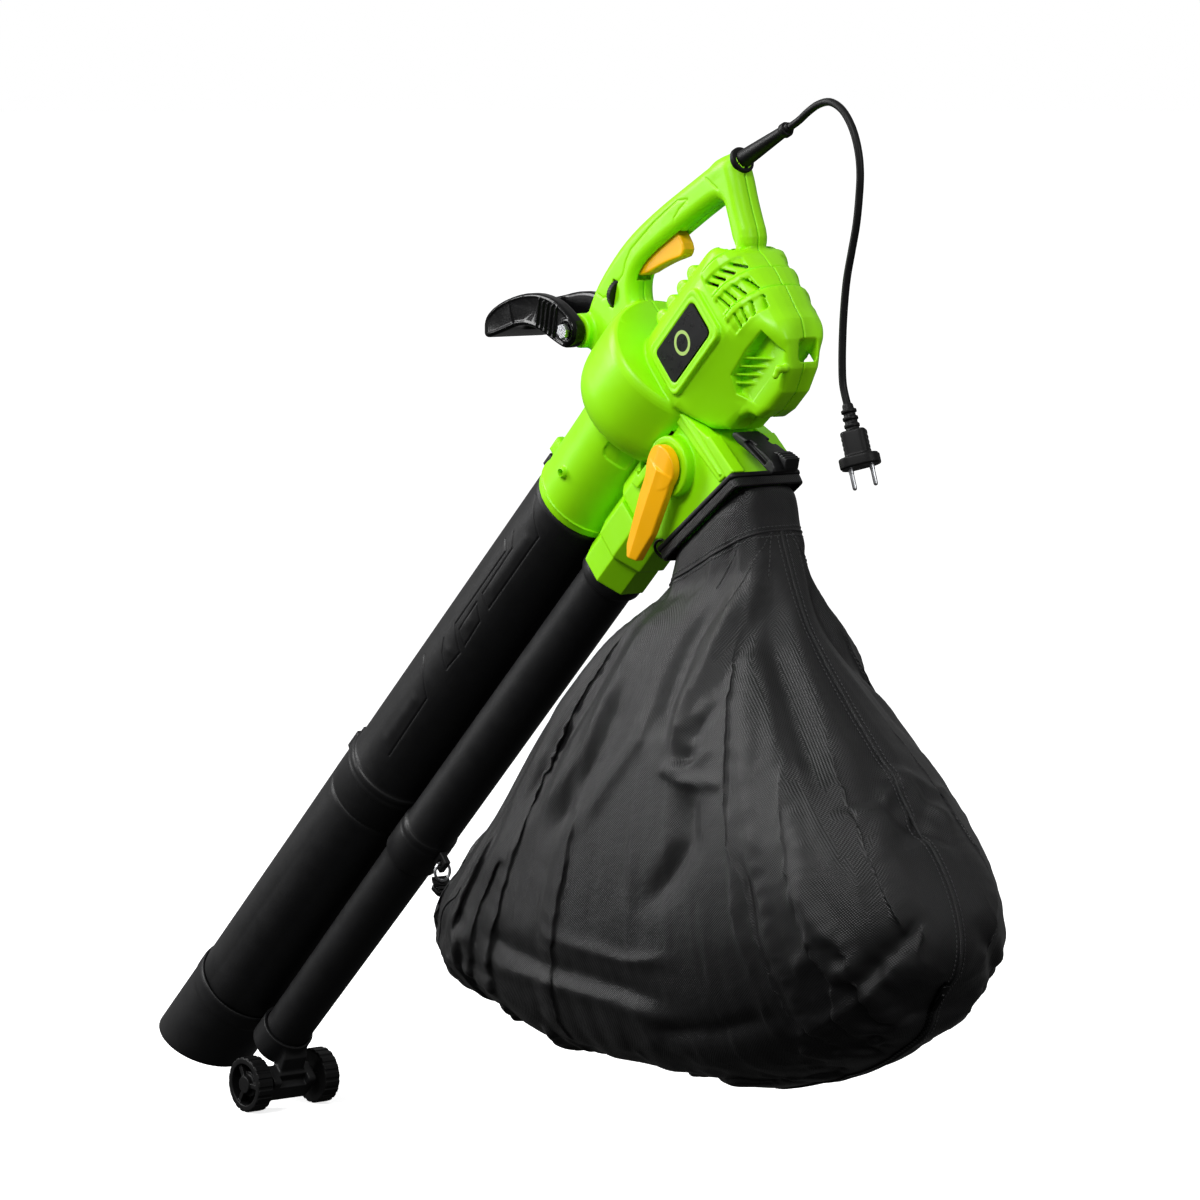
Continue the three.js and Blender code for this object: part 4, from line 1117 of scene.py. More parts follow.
def make_tubes(paints):
    black = paints["black"]

    def flats(x, r, angle):
        """Eight very flat sides on the outside of the lower tube."""
        if r < 45.5 or x < 600:
            return 0.0
        part = (angle + math.pi / 8) % (math.pi / 4) - math.pi / 8
        return -0.9 + min(0.9, 1.1 * abs(part) / (math.pi / 8))

    upper = [(82, 40.6), (82, 43.7), (130, 43.9), (130, 45.2), (134, 46.2), (500, 46.6), (531, 46.7), (534, 47.4),
             (535, 49.1), (539, 49.4), (541, 48.9), (543, 48.9), (545, 49.4), (548, 49.3), (550, 48.3),
             (583.5, 48.5), (584, 47.2), (546, 46.9), (543, 42.8), (130, 41.2)]
    outside = [(134 + 1.3 * i, 46.2 + 0.0016 * i) for i in range(281)]
    at_start = upper.index((134, 46.2))
    upper = upper[:at_start] + outside + upper[at_start + 2:]
    fine = [math.radians(0.75 * i) for i in range(-36, 33)]
    around = fine + [math.radians(a) for a in range(27, 156, 4)] + [math.pi - a for a in reversed(fine)]
    around += [math.radians(a) for a in range(211, 331, 4)]
    tube = turned_mesh("SuctionTubeUpper_body", rounded_lip(upper, 0.35), angles=around, radius=embossed)
    lugs = Clay((128, -10, 38), (150, 10, 62), 0.7)
    lugs.add(block(131, 146, -8, 8, 42, 60, 2.5)).cut(lathe([(120, 0), (120, 44.4), (160, 44.4), (160, 0)]))
    joint = Clay((545, -10, 44), (586, 10, 63), 0.7)
    joint.add(block(548, 583, -8, 8, 46, 57, 2)).add(block(560, 583, -8, 8, 50, 61, 2.5), blend=2)
    joint.cut(lathe([(500, 0), (500, 47.9), (600, 47.9), (600, 0)]))
    parts = [tube, carve("LugA", lugs, 0.5), carve("LugB", joint, 0.5)]
    piece = join_meshes("SuctionTubeUpper", parts)
    finish_piece(piece, black, "chassis", ["suction_tube_upper"])

    lower = [(548, 43.2), (548, 46.5), (585, 46.7), (586, 47.9), (590, 48.4), (700, 48.6), (870, 48.6), (897, 48.6),
             (898, 47.4), (927, 47.4), (927, 44.6), (590, 43.6)]
    tube = turned_mesh("TubeLower_body", rounded_lip(lower, 0.35), sides=128, radius=flats)
    button = Clay((766, -10, 45), (790, 10, 55), 0.6)
    button.add(prism([(770, 45), (772, 51.6), (775, 53), (784, 53), (785.4, 45)], -8, 8, "y", 1.4))
    piece = join_meshes("SuctionTubeLower", [tube, carve("Button", button, 0.5)])
    finish_piece(piece, black, "chassis", ["suction_tube_lower"])

    clay = Clay((896, -54, -54), (1044, 54, 56), 1.0)
    clay.add(lathe([(899, 47.8), (899, 49.9), (903, 50.6), (917, 50.6), (921, 49.9), (1042, 50.2), (1042, 47.3),
                    (932, 47.3), (930, 47.8)]))
    clay.add(block(966, 980, -8, 8, 47, 54, 1.5), blend=1)
    mouth = [(1021.5, 50), (984.5, -50), (975, -70), (1100, -70), (1100, 70), (1028.9, 70)]
    clay.cut(prism(mouth, -60, 60), blend=1)
    piece = carve("SuctionNozzle", clay, 0.35)
    finish_piece(piece, black, "chassis", ["suction_nozzle"])

    upper = [(86, 23.6), (86, 26.8), (133.4, 26.8), (133.4, 30.3), (135, 30.6), (144, 30.5), (147, 27.2), (150, 26.6),
             (530, 27), (533, 27.6), (534, 28.5), (538, 28.8), (540, 28.3), (543, 28.3), (545, 28.8), (577, 28.6),
             (578, 26.4), (548, 26.2), (545, 24)]
    tube = turned_mesh("BlowUpper_body", rounded_lip(upper, 0.3), BLOW_Z, sides=96)
    lug = Clay((530, -6, -126), (558, 6, -102), 0.6)
    lug.add(block(536, 552, -3.4, 3.4, -121, -104, 1.4)).cut(pin(544, -114.5, 3.2, -10, 10))
    piece = join_meshes("BlowTubeUpper", [tube, carve("HookLug", lug, 0.6)])
    finish_piece(piece, black, "chassis", ["blow_tube_upper"])

    def seam(x, r, angle):
        """A fine raised joint line down each side."""
        near = abs((angle + 0.35) % math.pi - math.pi / 2)
        return -0.35 if near < 0.03 and r > 23 and 590 < x < 900 else 0.0

    lower = [(549, 22), (549, 25.9), (579, 25.9), (580, 25.3), (592, 25.2), (700, 24.6), (878, 23.4), (904, 23.2),
             (905, 22.8), (905, 20.4)]
    tube = turned_mesh("BlowTubeLower", rounded_lip(lower, 0.3), BLOW_Z, sides=160, radius=seam)
    finish_piece(tube, black, "chassis", ["blow_tube_lower"])


# ---- Wheels ----

def make_wheels(paints):
    x, z, r = 916.0, -113.0, 28.0
    clay = Clay((866, -28, -132), (938, 28, -48), 0.8)
    clay.add(lathe([(872, 23.9), (872, 27), (900, 27), (900, 23.9)], z=BLOW_Z))
    clay.add(prism(rounded(x - 17, x + 17, z - 15, z + 10, 5), -26, 26, "y", 2), blend=2)
    clay.cut(prism(rounded(x - 24, x - 8, z - 22, z - 6, 3), -16, 16), blend=2)
    clay.add(prism([(874, -98), (899, -98), (912, -106), (906, -118), (884, -110)], -14, 14, "y", 2), blend=3)
    clay.cut(pin(x, z, 4.3, -30, 30))
    clay.cut(lathe([(850, 0), (850, 24.0), (905.8, 24.0), (905.8, 0)], z=BLOW_Z))
    piece = carve("WheelBracket", clay, 0.4)
    finish_piece(piece, paints["black"], "chassis", ["wheel_bracket"])

    for name, body, sign in (("wheel_left", "wheel_l", 1), ("wheel_right", "wheel_r", -1)):
        span = (lambda a, b: (a, b)) if sign > 0 else (lambda a, b: (-b, -a))
        clay = Clay((x - 30, min(span(31, 51)), z - 30), (x + 30, max(span(31, 51)), z + 30), 0.6)
        clay.add(pin(x, z, r - 0.9, *span(32, 50), 1.2))
        for i in range(20):
            a = 2 * math.pi * i / 20
            lug = spun([(-2.6, r - 4), (2.6, r - 4), (2.6, r), (-2.6, r)], math.degrees(a))
            clay.add(prism([(x + p, z + q) for p, q in lug], *span(32.6, 49.4), "y", 0.6), blend=0.6)
        clay.cut(pin(x, z, 21, *span(38, 52)), blend=1)
        clay.add(pin(x, z, 9, *span(34, 50), 1), blend=1.5)
        clay.add(common(pin(x, z, 13, *span(34, 44)), pin(x, z, 40, *span(34, 44)), blend=1), blend=2)
        for i in range(3):
            spoke = spun([(0, -2.6), (23, -2.6), (23, 2.6), (0, 2.6)], 120 * i + 15)
            clay.add(prism([(x + p, z + q) for p, q in spoke], *span(35, 48), "y", 0.6), blend=1.2)
        clay.cut(pin(x, z, 4.25, *span(31, 48.4)))
        piece = carve(name.title().replace("_", ""), clay, 0.35)
        finish_piece(piece, paints["rubber"], body, [name])


# ---- Cord, strain relief and plug ----

CORD_ROUTE = [(-164.6, 0, 87.0), (-176, 0, 92.5), (-189, 0, 100.5), (-203, 0, 107), (-219, 0, 109), (-235, 0, 102),
              (-248, 0, 87), (-256, 0, 68), (-259, 0, 48), (-257.5, 0, 25), (-254, 0, 2), (-248, 0, -21),
              (-242, 0, -44), (-238.5, 0, -68), (-236.5, 0, -94), (-236, 0, -121), (-237.5, 0, -139),
              (-243.5, 0, -156)]


def plug_matrix():
    end, before = Vector(CORD_ROUTE[-1]), Vector(CORD_ROUTE[-2])
    along = (end - before).normalized()
    across = Vector((-0.75, -0.6, 0))
    across = (across - along * across.dot(along)).normalized()
    third = across.cross(along)
    return Matrix(((third.x, across.x, along.x, end.x), (third.y, across.y, along.y, end.y),
                   (third.z, across.z, along.z, end.z), (0, 0, 0, 1)))


def make_cord(paints):
    route = sweep_points(CORD_ROUTE, 90)
    cord = tube_mesh("Cord", route, 3.5, 20)
    finish_piece(cord, paints["rubber"], "chassis", ["cord"])

    start = Matrix.Translation((-258.6, 0, 74.6)) @ Matrix.Rotation(math.atan2(24.0, -70.4), 4, "Y")
    relief = [(-26, 3.6), (-26, 6.8), (-2, 6.8), (-2, 11.2), (-1, 12.4), (1.6, 12.4), (2.8, 11.6), (3.2, 9.4),
              (3.4, 8.4), (5, 8.2), (30, 7.0), (58, 5.6), (63.6, 5.3), (64, 6.4), (65, 6.9), (69.4, 6.9), (70.4, 6.4),
              (70.8, 5.0), (73.6, 4.7), (74.4, 4.2), (74.4, 3.6)]
    sleeve = turned_mesh("CordRelief", relief, sides=40, matrix=TOOL @ start)
    finish_piece(sleeve, paints["rubber"], "chassis", ["strain_relief"])

    clay = Clay((-16, -21, -2), (16, 21, 59), 0.6)
    clay.add(rod((0, 0, 1), (0, 0, 24), 5.0, 6.2))
    for z in (4, 10.5, 17):
        clay.add(disc_shape(Vector((0, 0, z + 1.4)), Vector((0, 0, 1)), 7.0, 1.5), blend=1)
    clay.add(prism(rounded(-10.5, 10.5, -11.5, 11.5, 6), 23, 47, "z", 2), blend=2)
    clay.add(prism(rounded(-13.5, 13.5, -18.4, 18.4, 12, 8), 46, 56, "z", 1.5), blend=2)
    for sign in (1, -1):
        clay.cut(rod((0, sign * 22, 40), (0, sign * 22, 60), 5.2), blend=1)
        for i in range(4):
            z = 28 + 4.2 * i
            clay.line([(-7, sign * 11.6, z), (7, sign * 11.6, z)], 0.8, 0.5)
    clay.cut(block(-14, 14, -30, 30, 58, 70))
    where = plug_matrix()
    plug = carve("Plug", clay, 0.45, where)
    finish_piece(plug, paints["rubber"], "chassis", ["plug_body"])
    for node, side in (("plug_pin_a", 9.5), ("plug_pin_b", -9.5)):
        turn = Matrix.Rotation(-math.pi / 2, 4, "Y")
        profile = [(50, 0.01), (50, 2.4), (60, 2.4), (60.3, 2.1), (73, 2.1), (74.4, 1.7), (75, 0.9), (75, 0.01)]
        made = turned_mesh(f"Pin_{node[-1]}", profile, sides=24, matrix=where @ Matrix.Translation((0, side, 0)) @ turn)
        finish_piece(made, paints["steel"], "chassis", [node])
    start = Vector(CORD_ROUTE[0]) * MM


# ---- Bag frame and latch ----

def make_bag_fittings(paints):
    x, z, half, wide = -29.0, -146.0, 60.0, 33.0
    tilt = Matrix.Translation((x, 0, z)) @ Matrix.Rotation(math.radians(-7.8), 4, "Y")
    clay = Clay((-70, -45, -8), (70, 45, 9), 0.8)
    clay.add(prism(rounded(-half - 6, half + 6, -wide - 8, wide + 8, 5), 0.6, 5, "z", 1.2))
    clay.add(prism(rounded(-half - 2, half + 2, -wide - 4.4, wide + 4.4, 4), -4, 3, "z", 0.8), blend=1)
    clay.cut(prism(rounded(-half + 4, half - 4, -wide + 3.6, wide - 3.6, 3), -20, 20, "z"))
    clay.cut(prism(rounded(-half - 1, half + 1.4, -wide - 0.6, wide + 0.6, 2), -0.6, 20, "z"))
    piece = carve("BagFrame", clay, 0.35, TOOL @ tilt)
    finish_piece(piece, paints["black"], "chassis", ["bag_frame"])
    clay = Clay((-70, -45, -13), (70, 45, 5), 0.8)
    clay.add(prism(rounded(-half - 5.4, half + 5.4, -wide - 7.4, wide + 7.4, 6), -9, 0.2, "z", 1.4))
    clay.cut(prism(rounded(-half - 2.3, half + 2.3, -wide - 4.7, wide + 4.7, 4), -20, 20, "z"))
    piece = carve("BagCollar", clay, 0.35, TOOL @ tilt)
    finish_piece(piece, paints["fabric"], "chassis", ())

    clay = Clay((-130, -11, -178), (-92, 23, -104), 0.7)
    latch = soften([(-96, -112), (-103, -109), (-111, -125), (-126, -160), (-124, -174), (-116, -172), (-111, -150)], 1)
    clay.add(prism(latch, -8, 20, "y", 1.8))
    clay.cut(prism([(-108, -128), (-113, -128), (-121, -160), (-116, -160)], 15, 30, "y"), blend=1.5)
    clay.cut(prism([(-108, -128), (-113, -128), (-121, -160), (-116, -160)], -30, -3, "y"), blend=1.5)
    piece = carve("BagLatch", clay, 0.4)
    finish_piece(piece, paints["black"], "latch", ["bag_latch"])

    clay = Clay((-139, -6, -179), (-122, 14, -150), 0.6)
    clay.add(prism([(-124, -152), (-131, -158), (-136, -170), (-126.5, -176), (-128, -160)], -4, 12, "y", 1.2))
    for i in range(4):
        px, pz = -130.5 - 1.4 * i, -158.5 - 3.3 * i
        clay.line([(px, -6, pz), (px, 14, pz)], 0.9, 0.4)
    piece = carve("LatchButton", clay, 0.5)
    finish_piece(piece, paints["black"], "latch", ["latch_button"])


# ---- Bag ----

BAG_RINGS = [
    (-84, -266, 50, 35, 0.71), (-88, -278, 56, 38, 0.70), (-88, -318, 70, 43, 0.35), (-76, -362, 110, 78, 0.10),
    (-76, -420, 166, 106, 0.04), (-86, -480, 226, 124, 0), (-91, -545, 286, 136, 0), (-74, -605, 330, 140, 0),
    (-42, -655, 344, 138, 0), (-26, -702, 304, 128, 0), (-28, -738, 230, 108, 0), (-18, -762, 150, 74, 0)]
BAG_LEVELS = 60
NECK_LEVEL = 9


def bag_ring(level):
    """Ring values at a level from 0 at the neck to BAG_LEVELS at the bottom."""
    place = level / BAG_LEVELS * (len(BAG_RINGS) - 1)
    i = min(int(place), len(BAG_RINGS) - 2)
    t = place - i
    ring = [BAG_RINGS[max(0, min(len(BAG_RINGS) - 1, i + k))] for k in (-1, 0, 1, 2)]
    return [0.5 * (2 * b + (c - a) * t + (2 * a - 5 * b + 4 * c - d) * t * t + (3 * b - a - 3 * c + d) * t ** 3)
            for a, b, c, d in zip(*ring)]


def bag_point(level, angle, shrink=0.0):
    cx, cz, a, b, rise = bag_ring(level)
    power = 0.45 + 0.3 * min(1.0, max(0.0, (-290 - cz) / 60))
    c, s = math.cos(angle), math.sin(angle)
    dx = (a - shrink) * math.copysign(abs(c) ** power, c)
    dy = (b - shrink) * math.copysign(abs(s) ** power, s)
    return Vector((cx + dx, dy, cz - rise * dx))


def bag_start():
    """The bag's cut shape, a little smaller than when full of air."""
    around = 96
    points, faces = [], []
    for level in range(BAG_LEVELS + 1):
        shrink = 1.5 * min(1.0, max(0.0, (level - 24) / 12))
        for i in range(around):
            points.append(bag_point(level, 2 * math.pi * i / around, shrink))
    for level in range(BAG_LEVELS):
        for i in range(around):
            j = (i + 1) % around
            a, b = level * around, (level + 1) * around
            faces.append((a + i, b + i, b + j, a + j))
    faces.append(tuple(range(around)))
    faces.append(tuple(BAG_LEVELS * around + i for i in range(around))[::-1])
    ob = mesh_object("Bag", points, faces, WORLD)
    tidy_normals(ob)
    return ob


def neck_share(z_mm, x_mm):
    """1 at the sewn neck, 0 well below it."""
    rise = 0.5 if z_mm > -330 else 0.0
    return min(1.0, max(0.0, (z_mm + rise * (x_mm + 86) + 318) / 26))


def simulate_bag(ob):
    remesh = ob.modifiers.new("remesh", "REMESH")
    remesh.mode = "VOXEL"
    remesh.voxel_size = 0.0062
    settle(ob)
    rest = [v.co.copy() for v in ob.data.vertices]
    group = ob.vertex_groups.new(name="held")
    for v in ob.data.vertices:
        group.add([v.index], neck_share(v.co.z / MM, v.co.x / MM), "REPLACE")
    cloth = ob.modifiers.new("cloth", "CLOTH")
    s = cloth.settings
    s.quality = 5
    s.mass = 0.2
    s.air_damping = 2.0
    s.tension_stiffness = s.compression_stiffness = 12
    s.shear_stiffness = 4
    s.bending_stiffness = 0.7
    s.use_pressure = True
    s.uniform_pressure_force = 1.4
    s.shrink_min = -0.04
    s.vertex_group_mass = "held"
    s.effector_weights.gravity = 0.25
    cloth.collision_settings.use_collision = False
    cloth.point_cache.frame_start, cloth.point_cache.frame_end = 1, 22
    scene = bpy.context.scene
    for number in range(1, 23):
        scene.frame_set(number)
        bpy.context.view_layer.update()
    settle(ob)
    scene.frame_set(1)
    normals = [v.normal.copy() for v in ob.data.vertices]
    for v, was, normal in zip(ob.data.vertices, rest, normals):
        move = v.co - was
        out = move.dot(normal)
        cap = 0.012 if out > 0 else 0.006
        along = move - normal * out
        v.co = was + normal * (cap * math.tanh(out / cap)) + along * (0.5 / (1 + along.length / 0.008))
    ease = ob.modifiers.new("ease", "SMOOTH")
    ease.factor, ease.iterations = 0.5, 4
    settle(ob)
    return ob


# Folds as (half width, height, spots), each spot a (level, angle) on the bag; a height below 0 is a hollow.
FOLDS = [
    (9, 8, [(12, 143), (17, 122), (21.5, 106), (26, 99)]),
    (15, -13, [(12, 112), (17, 103), (21.5, 97), (25, 95)]),
    (7, 6, [(17, 150), (20.5, 126), (24, 103)]),
    (10, -8, [(15, 155), (19, 133), (23, 112), (25.5, 103)]),
    (5, 6, [(25, 114), (26.6, 104), (27.2, 97), (27.8, 103), (27.5, 116)]),
    (8, -8, [(25.6, 108), (26.4, 101)]),
    (14, 7, [(15, 176), (21, 174), (27, 172)]),
    (12, -7, [(15, 163), (21, 158), (28, 150)]),
    (7, 6, [(26, 178), (28.5, 186), (30.5, 196)]),
    (8, -6, [(28, 170), (30, 180), (31.5, 190)]),
    (6, 5, [(29, 153), (28.8, 169), (27, 184)]),
    (10, 5, [(22, 93), (27, 89), (33, 80)]),
    (11, -6, [(21, 86), (27, 82), (34, 73)]),
    (12, 6, [(9, 76), (19, 82), (27, 76), (34, 65)]),
    (13, -6, [(16, 66), (22, 68), (28, 62), (35, 55)]),
    (10, 5, [(9, 48), (18, 46), (28, 42)]),
    (10, -8, [(36, 172), (40, 156), (45, 148)]),
    (6, 6, [(50, 142), (44.5, 152), (41, 160)]),
    (6, 4, [(43, 84), (43.8, 95), (42.6, 103)]),
    (12, -8, [(38, 94), (32, 102), (28, 103)]),
    (8, 5, [(47, 60), (48, 85), (50, 110)]),
    (9, -5, [(44, 66), (46, 84), (47.5, 104)]),
    (9, 6, [(46, 30), (48, 50), (52, 70)]),
    (10, -6, [(52, 100), (50.5, 118), (47, 134)]),
    (8, 5, [(34, 128), (38, 134), (43, 132)]),
    (9, -6, [(36, 22), (42, 30), (48, 34)]),
    (7, 5, [(36, 14), (43, 20), (50, 22)]),
]


def surface_tree(ob):
    shape = bmesh.new()
    shape.from_mesh(ob.data)
    tree = BVHTree.FromBMesh(shape)
    shape.free()
    return tree


def crease_bag(ob):
    """Lays the folds in: the ones that show on the left, others like them on the right, and the fine gathers."""
    tree = surface_tree(ob)
    count = len(ob.data.vertices)
    flat = np.empty(count * 3)
    ob.data.vertices.foreach_get("co", flat)
    place = flat.reshape(-1, 3) / MM
    normals = np.empty(count * 3)
    ob.data.vertices.foreach_get("normal", normals)
    normals = normals.reshape(-1, 3)
    lift = np.zeros(count)

    def lay(half, height, spots, side, shift):
        line = []
        for (l0, a0), (l1, a1) in zip(spots, spots[1:]):
            for i in range(8):
                t = i / 8
                line.append(bag_point(l0 + (l1 - l0) * t + shift, side * math.radians(a0 + (a1 - a0) * t + shift * 3)))
        line.append(bag_point(spots[-1][0] + shift, side * math.radians(spots[-1][1] + shift * 3)))
        line = np.array([tuple(tree.find_nearest(p * MM)[0] / MM) for p in line])
        best = np.full(count, 1e9)
        along = np.zeros(count)
        for k in range(len(line) - 1):
            a, b = line[k], line[k + 1]
            t = np.clip(((place - a) @ (b - a)) / max((b - a) @ (b - a), 1e-6), 0, 1)
            far = np.linalg.norm(place - a - t[:, None] * (b - a), axis=1)
            nearer = far < best
            best = np.where(nearer, far, best)
            along = np.where(nearer, (k + t) / (len(line) - 1), along)
        taper = np.clip(np.minimum(along, 1 - along) * 4 + 0.15, 0, 1)
        sharp = np.exp(-best / half) * 0.45 + np.exp(-(best / half) ** 2) * 0.55
        np.add(lift, height * sharp * taper, out=lift)

    for half, height, spots in FOLDS:
        lay(half, height, spots, 1, 0.0)
    for i, (half, height, spots) in enumerate(FOLDS):
        lay(half * 1.1, height * 0.9, spots, -1, 1.6 * math.sin(2.4 * i + 0.6))
    for i in range(22):
        angle = 18 + 15.4 * i + 4 * math.sin(3.1 * i)
        reach = 14 + 4 * math.sin(1.7 * i + 1)
        swing = 6 * math.sin(2.3 * i)
        lay(4.5, (2.6 if i % 2 else -2.6), [(NECK_LEVEL, angle), (reach, angle + swing)], 1, 0.0)
    neck = np.clip((-place[:, 2] - 0.5 * (place[:, 0] + 86) - 268) / 14, 0, 1)
    flat = (place + normals * (lift * neck)[:, None]) * MM
    ob.data.vertices.foreach_set("co", flat.reshape(-1))
    ob.data.update()


def on_surface(tree, points, lift):
    """The points, in metres, moved to the nearest place on a surface and lifted off it."""
    out = []
    for p in points:
        place, normal, _, _ = tree.find_nearest(p)
        out.append(place + normal * lift)
    return out


def stitches(name, line, length=2.6, gap=1.8, r=0.42):
    """A row of short threads along a line in metres."""
    pts = [Vector(p) / MM for p in line]
    spans, total = [], 0.0
    for a, b in zip(pts, pts[1:]):
        spans.append((total, a, b))
        total += (b - a).length
    points, faces = [], []
    place, k = 0.0, 0
    while place + length < total:
        ends = []
        for want in (place, place + length):
            while k + 1 < len(spans) and spans[k + 1][0] < want:
                k += 1
            start, a, b = spans[k]
            ends.append(a.lerp(b, (want - start) / max((b - a).length, 1e-6)))
        along = (ends[1] - ends[0]).normalized()
        side = along.orthogonal().normalized()
        other = along.cross(side)
        n = len(points)
        for e in ends:
            for i in range(6):
                t = math.pi * i / 3
                points.append(e + side * (r * math.cos(t)) + other * (r * math.sin(t)))
        for i in range(6):
            j = (i + 1) % 6
            faces.append((n + i, n + j, n + 6 + j, n + 6 + i))
        faces.append(tuple(n + i for i in range(6))[::-1])
        faces.append(tuple(n + 6 + i for i in range(6)))
        place += length + gap
    return mesh_object(name, points, faces, WORLD)


def make_bag(paints):
    ob = bag_start()
    simulate_bag(ob)
    crease_bag(ob)
    smooth = ob.modifiers.new("smooth", "SUBSURF")
    smooth.levels = smooth.render_levels = 1
    settle(ob)
    ob.data.shade_smooth()
    finish_piece(ob, paints["fabric"], "chassis", ["bag"])

    tree = surface_tree(ob)

    def seam(name, spots, r, lift, flat=0.7):
        line = on_surface(tree, [p * MM for p in spots], lift)
        line = [p / MM for p in sweep_points(line, max(40, len(line) * 2))]
        piece = tube_mesh(name, line, r, 10, WORLD, flat)
        finish_piece(piece, paints["webbing"], "chassis", ())
        return line

    back = [bag_point(level, math.pi) for level in range(NECK_LEVEL, BAG_LEVELS - 1)]
    front = [bag_point(level, 0.0) for level in range(BAG_LEVELS - 2, NECK_LEVEL, -1)]
    line = seam("BagEdgePiping", back + under_bag() + front, 1.7, 0.0003)
    for k, side in enumerate((5.0, -5.0)):
        run = on_surface(tree, [(p + Vector((0, side, 0))) * MM for p in line], 0.0003)
        finish_piece(stitches(f"BagEdgeStitch{k}", run), paints["thread"], "chassis", ())

    ring = [bag_point(NECK_LEVEL, 2 * math.pi * i / 72) for i in range(73)]
    line = seam("BagNeckSeam", ring, 1.2, 0.0002)
    for k, offset in enumerate((-4.5, 4.5)):
        run = on_surface(tree, [(p + Vector((0, 0, offset))) * MM for p in line], 0.0003)
        finish_piece(stitches(f"BagNeckStitch{k}", run), paints["thread"], "chassis", ())
    darts = [[(9, 125), (10, 117), (12.5, 103)], [(9, 176), (11, 148), (15, 122)], [(9, 184), (10.5, 190), (13, 196)]]
    for k, dart in enumerate(darts):
        for side in (1, -1):
            spots = [bag_point(a, side * math.radians(b)) for a, b in dart]
            run = on_surface(tree, [p * MM for p in sweep_points(spots, 30)], 0.0003)
            name = f"BagDart{k}{'L' if side > 0 else 'R'}"
            finish_piece(stitches(name, run), paints["thread"], "chassis", ())
    for name, side in (("BagGussetLeft", 1), ("BagGussetRight", -1)):
        spots = [bag_point(40 + i, side * math.radians(50 - 1.1 * i)) for i in range(12)]
        seam(name, spots, 1.1, 0.0002)
    zip_and_strap(paints, tree)


def under_bag():
    """Points below the bag on its middle plane, from the back to the front."""
    start, stop = bag_point(BAG_LEVELS - 2, math.pi), bag_point(BAG_LEVELS - 2, 0.0)
    return [start.lerp(stop, i / 12) + Vector((0, 0, -8)) for i in range(1, 12)]


def ribbon(name, path, across, width, thick):
    """A flat band along path, in mm, whose width lies along across."""
    points, faces = [], []
    across = Vector(across).normalized()
    for i, p in enumerate(path):
        along = (path[min(i + 1, len(path) - 1)] - path[max(i - 1, 0)]).normalized()
        side = (across - along * across.dot(along)).normalized()
        up = side.cross(along)
        for a, b in ((-1, -1), (-0.9, -1), (0.9, -1), (1, -1), (1, 1), (0.9, 1), (-0.9, 1), (-1, 1)):
            points.append(p + side * (a * width / 2) + up * (b * thick / 2))
    n = 8
    for k in range(len(path) - 1):
        for i in range(n):
            j = (i + 1) % n
            faces.append((k * n + i, k * n + j, (k + 1) * n + j, (k + 1) * n + i))
    faces.append(tuple(range(n))[::-1])
    faces.append(tuple((len(path) - 1) * n + i for i in range(n)))
    return tidy_normals(mesh_object(name, points, faces, WORLD))


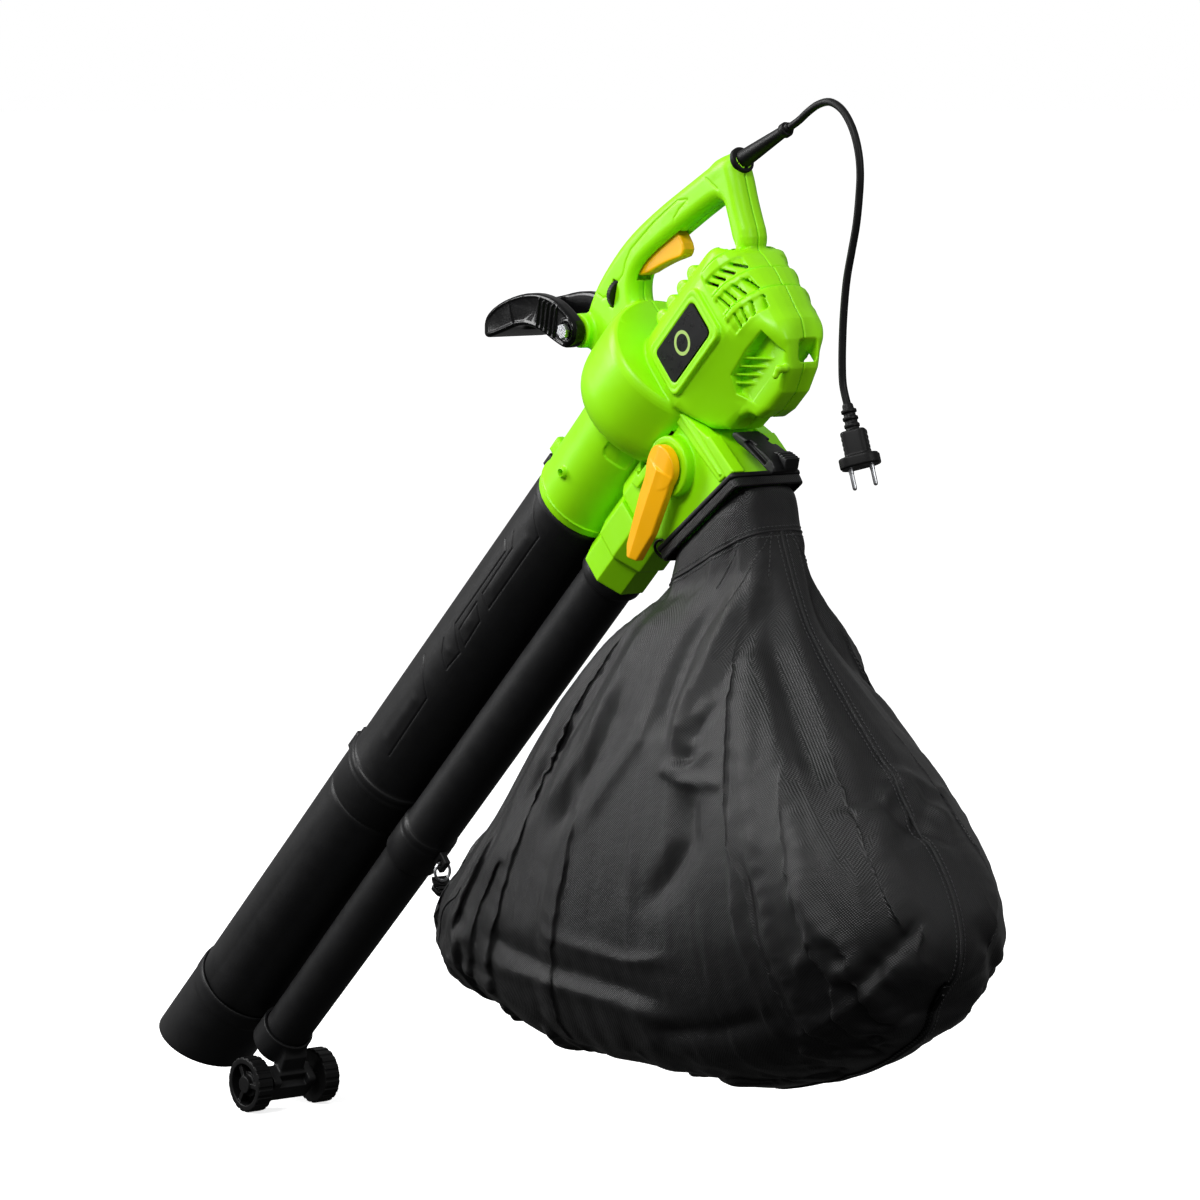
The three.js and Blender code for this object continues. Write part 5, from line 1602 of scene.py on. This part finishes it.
def zip_and_strap(paints, tree):
    """The zip along the bottom seam with its slider, and the strap that holds the front corner to the tube."""
    spots = [bag_point(level, math.pi) for level in range(43, 59)] + under_bag()
    spots = [p + Vector((0, 6, 0)) for p in spots]
    run = on_surface(tree, [p * MM for p in sweep_points(spots, 120)], 0.0006)
    line = [p / MM for p in sweep_points(run, 300)]
    points, faces = [], []
    for i, p in enumerate(line[1:-1], 1):
        along = (line[i + 1] - line[i - 1]).normalized()
        _, normal, _, _ = tree.find_nearest(p * MM)
        side = along.cross(normal).normalized()
        reach = side * (2.6 if i % 2 else -2.6)
        n = len(points)
        for a in (p - along * 0.8 - reach * 0.2, p + along * 0.8 - reach * 0.2, p + along * 0.8 + reach,
                  p - along * 0.8 + reach):
            points += [a - normal * 0.8, a + normal * 0.9]
        faces += [(n, n + 2, n + 4, n + 6), (n + 1, n + 7, n + 5, n + 3), (n, n + 1, n + 3, n + 2),
                  (n + 2, n + 3, n + 5, n + 4), (n + 4, n + 5, n + 7, n + 6), (n + 6, n + 7, n + 1, n)]
    teeth = mesh_object("BagZip", points, faces, WORLD, smooth=False)
    finish_piece(teeth, paints["gloss"], "chassis", ())

    spot = line[6]
    _, normal, _, _ = tree.find_nearest(spot * MM)
    clay = Clay((-9, -9, -28), (9, 9, 10), 0.6)
    clay.add(prism(rounded(-4.5, 4.5, -5, 7, 2.5), -2.2, 2.2, "y", 1))
    clay.add(rod((0, -3, -4), (0, -3.4, -22), 1.7, 2.6), blend=1)
    clay.cut(rod((0, -8, -21), (0, 2, -21), 1.3))
    turn = normal.to_track_quat("-Y", "Z").to_matrix().to_4x4()
    slider = carve("BagZipSlider", clay, 0.6, Matrix.Translation(spot + normal * 1.5) @ turn)
    finish_piece(slider, paints["gloss"], "chassis", ())

    hook = at(544, 0, -114.5) / MM
    foot = Vector((hook.x, 0, hook.z - 17.6))
    seat, normal, _, _ = tree.find_nearest((foot + Vector((-60, 0, -34))) * MM)
    seat = seat / MM
    end = seat + normal * 0.6 + Vector((0, 0, -26))
    path = [foot + Vector((3.4, 0, 4)), foot + Vector((3.2, 0, 0)), foot + Vector((0.6, 0, -3.2)),
            foot + Vector((-6, 0, -8)), foot.lerp(seat, 0.55) + Vector((0, 0, -7)), seat + normal * 1.2, end]
    strap = ribbon("BagStrap", sweep_points(path, 40), (0, 1, 0), 20, 1.6)
    finish_piece(strap, paints["webbing"], None, ())
    clay = Clay((-16, -9, -4), (16, 9, 4), 0.6)
    clay.add(prism(rounded(-14, 14, -7.5, 7.5, 3), -2.6, 2.6, "z", 1))
    for sign in (1, -1):
        clay.cut(prism(rounded(-10.6, 10.6, *sorted((sign * 1.3, sign * 4.6)), 1), -5, 5, "z"), blend=0.4)
    run = (path[4] - path[3]).normalized()
    face = Vector((0, 1, 0)).cross(run)
    turn = Matrix(((0, run.x, face.x, path[3].x), (1, run.y, face.y, path[3].y), (0, run.z, face.z, path[3].z),
                   (0, 0, 0, 1)))
    buckle = carve("StrapBuckle", clay, 0.6, turn)
    finish_piece(buckle, paints["gloss"], None, ())
    for piece in (strap, buckle):
        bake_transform(piece)


# ---- Small metal and what shows of the inside ----

def bevelled(name, paint_name, paints, width):
    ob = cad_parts[name]
    ob.data.materials.clear()
    ob.data.materials.append(paints[paint_name])
    ob.data.shade_smooth()
    ob.data.set_sharp_from_angle(angle=math.radians(30))
    if width:
        edge = ob.modifiers.new("edge", "BEVEL")
        edge.width = width * MM
        edge.segments = 2
        edge.limit_method = "ANGLE"
        edge.angle_limit = math.radians(40)
        edge.harden_normals = False


def make_metal(paints):
    for name in ("handle_bolt", "handle_nut", "impeller_nut"):
        bevelled(name, "steel", paints, 0.5)
    for name in ("screw_handle", "screw_post", "strap_hook", "wheel_axle", "selector_shaft", "motor_shaft",
                 "bearing_front", "bearing_rear"):
        bevelled(name, "steel", paints, 0.0)
    for name in ("switch_body", "diverter_flap", "cooling_fan", "brush_left", "brush_right"):
        bevelled(name, "black", paints, 0.0)
    bevelled("impeller", "orange", paints, 0.0)
    bevelled("speed_board", "board", paints, 0.0)
    bevelled("label_plate", "label", paints, 0.3)
    bevelled("armature", "laminations", paints, 0.0)
    bevelled("stator", "laminations", paints, 0.0)
    bevelled("commutator", "copper", paints, 0.0)
    bevelled("field_winding", "copper", paints, 0.0)



def make_lanyard(paints):
    """A small loop at the lower front of the outlet."""
    centre = Vector((36, 33, -132))
    line = [centre + Vector((7 * math.cos(t), 1.5 * math.sin(2 * t), 9 * math.sin(t)))
            for t in (2 * math.pi * i / 28 for i in range(28))]
    piece = tube_mesh("RetainingLoop", line, 1.3, 8, TOOL, closed=True)
    finish_piece(piece, paints["rubber"], "chassis", ())


def make_floor(floor):
    p = Paint("PaleFloor", (0.93, 0.93, 0.93), 0.6)
    p.colour(p.colours(p.noise(1.5, 3), (0.3, (0.91, 0.91, 0.91)), (0.7, (0.94, 0.94, 0.94))))
    p.shader.inputs["Emission Color"].default_value = (1, 1, 1, 1)
    p.shader.inputs["Emission Strength"].default_value = 0.78
    p.shader.inputs["Specular IOR Level"].default_value = 0.1
    floor.data.materials.append(p.material)


PAINTS = make_paints()
make_floor(FLOOR)
make_cord(PAINTS)
make_housing(PAINTS["green"])
make_outlet(PAINTS)
make_controls(PAINTS)
make_front_handle(PAINTS)
make_tubes(PAINTS)
make_wheels(PAINTS)
make_bag_fittings(PAINTS)
make_bag(PAINTS)
make_metal(PAINTS)
make_lanyard(PAINTS)
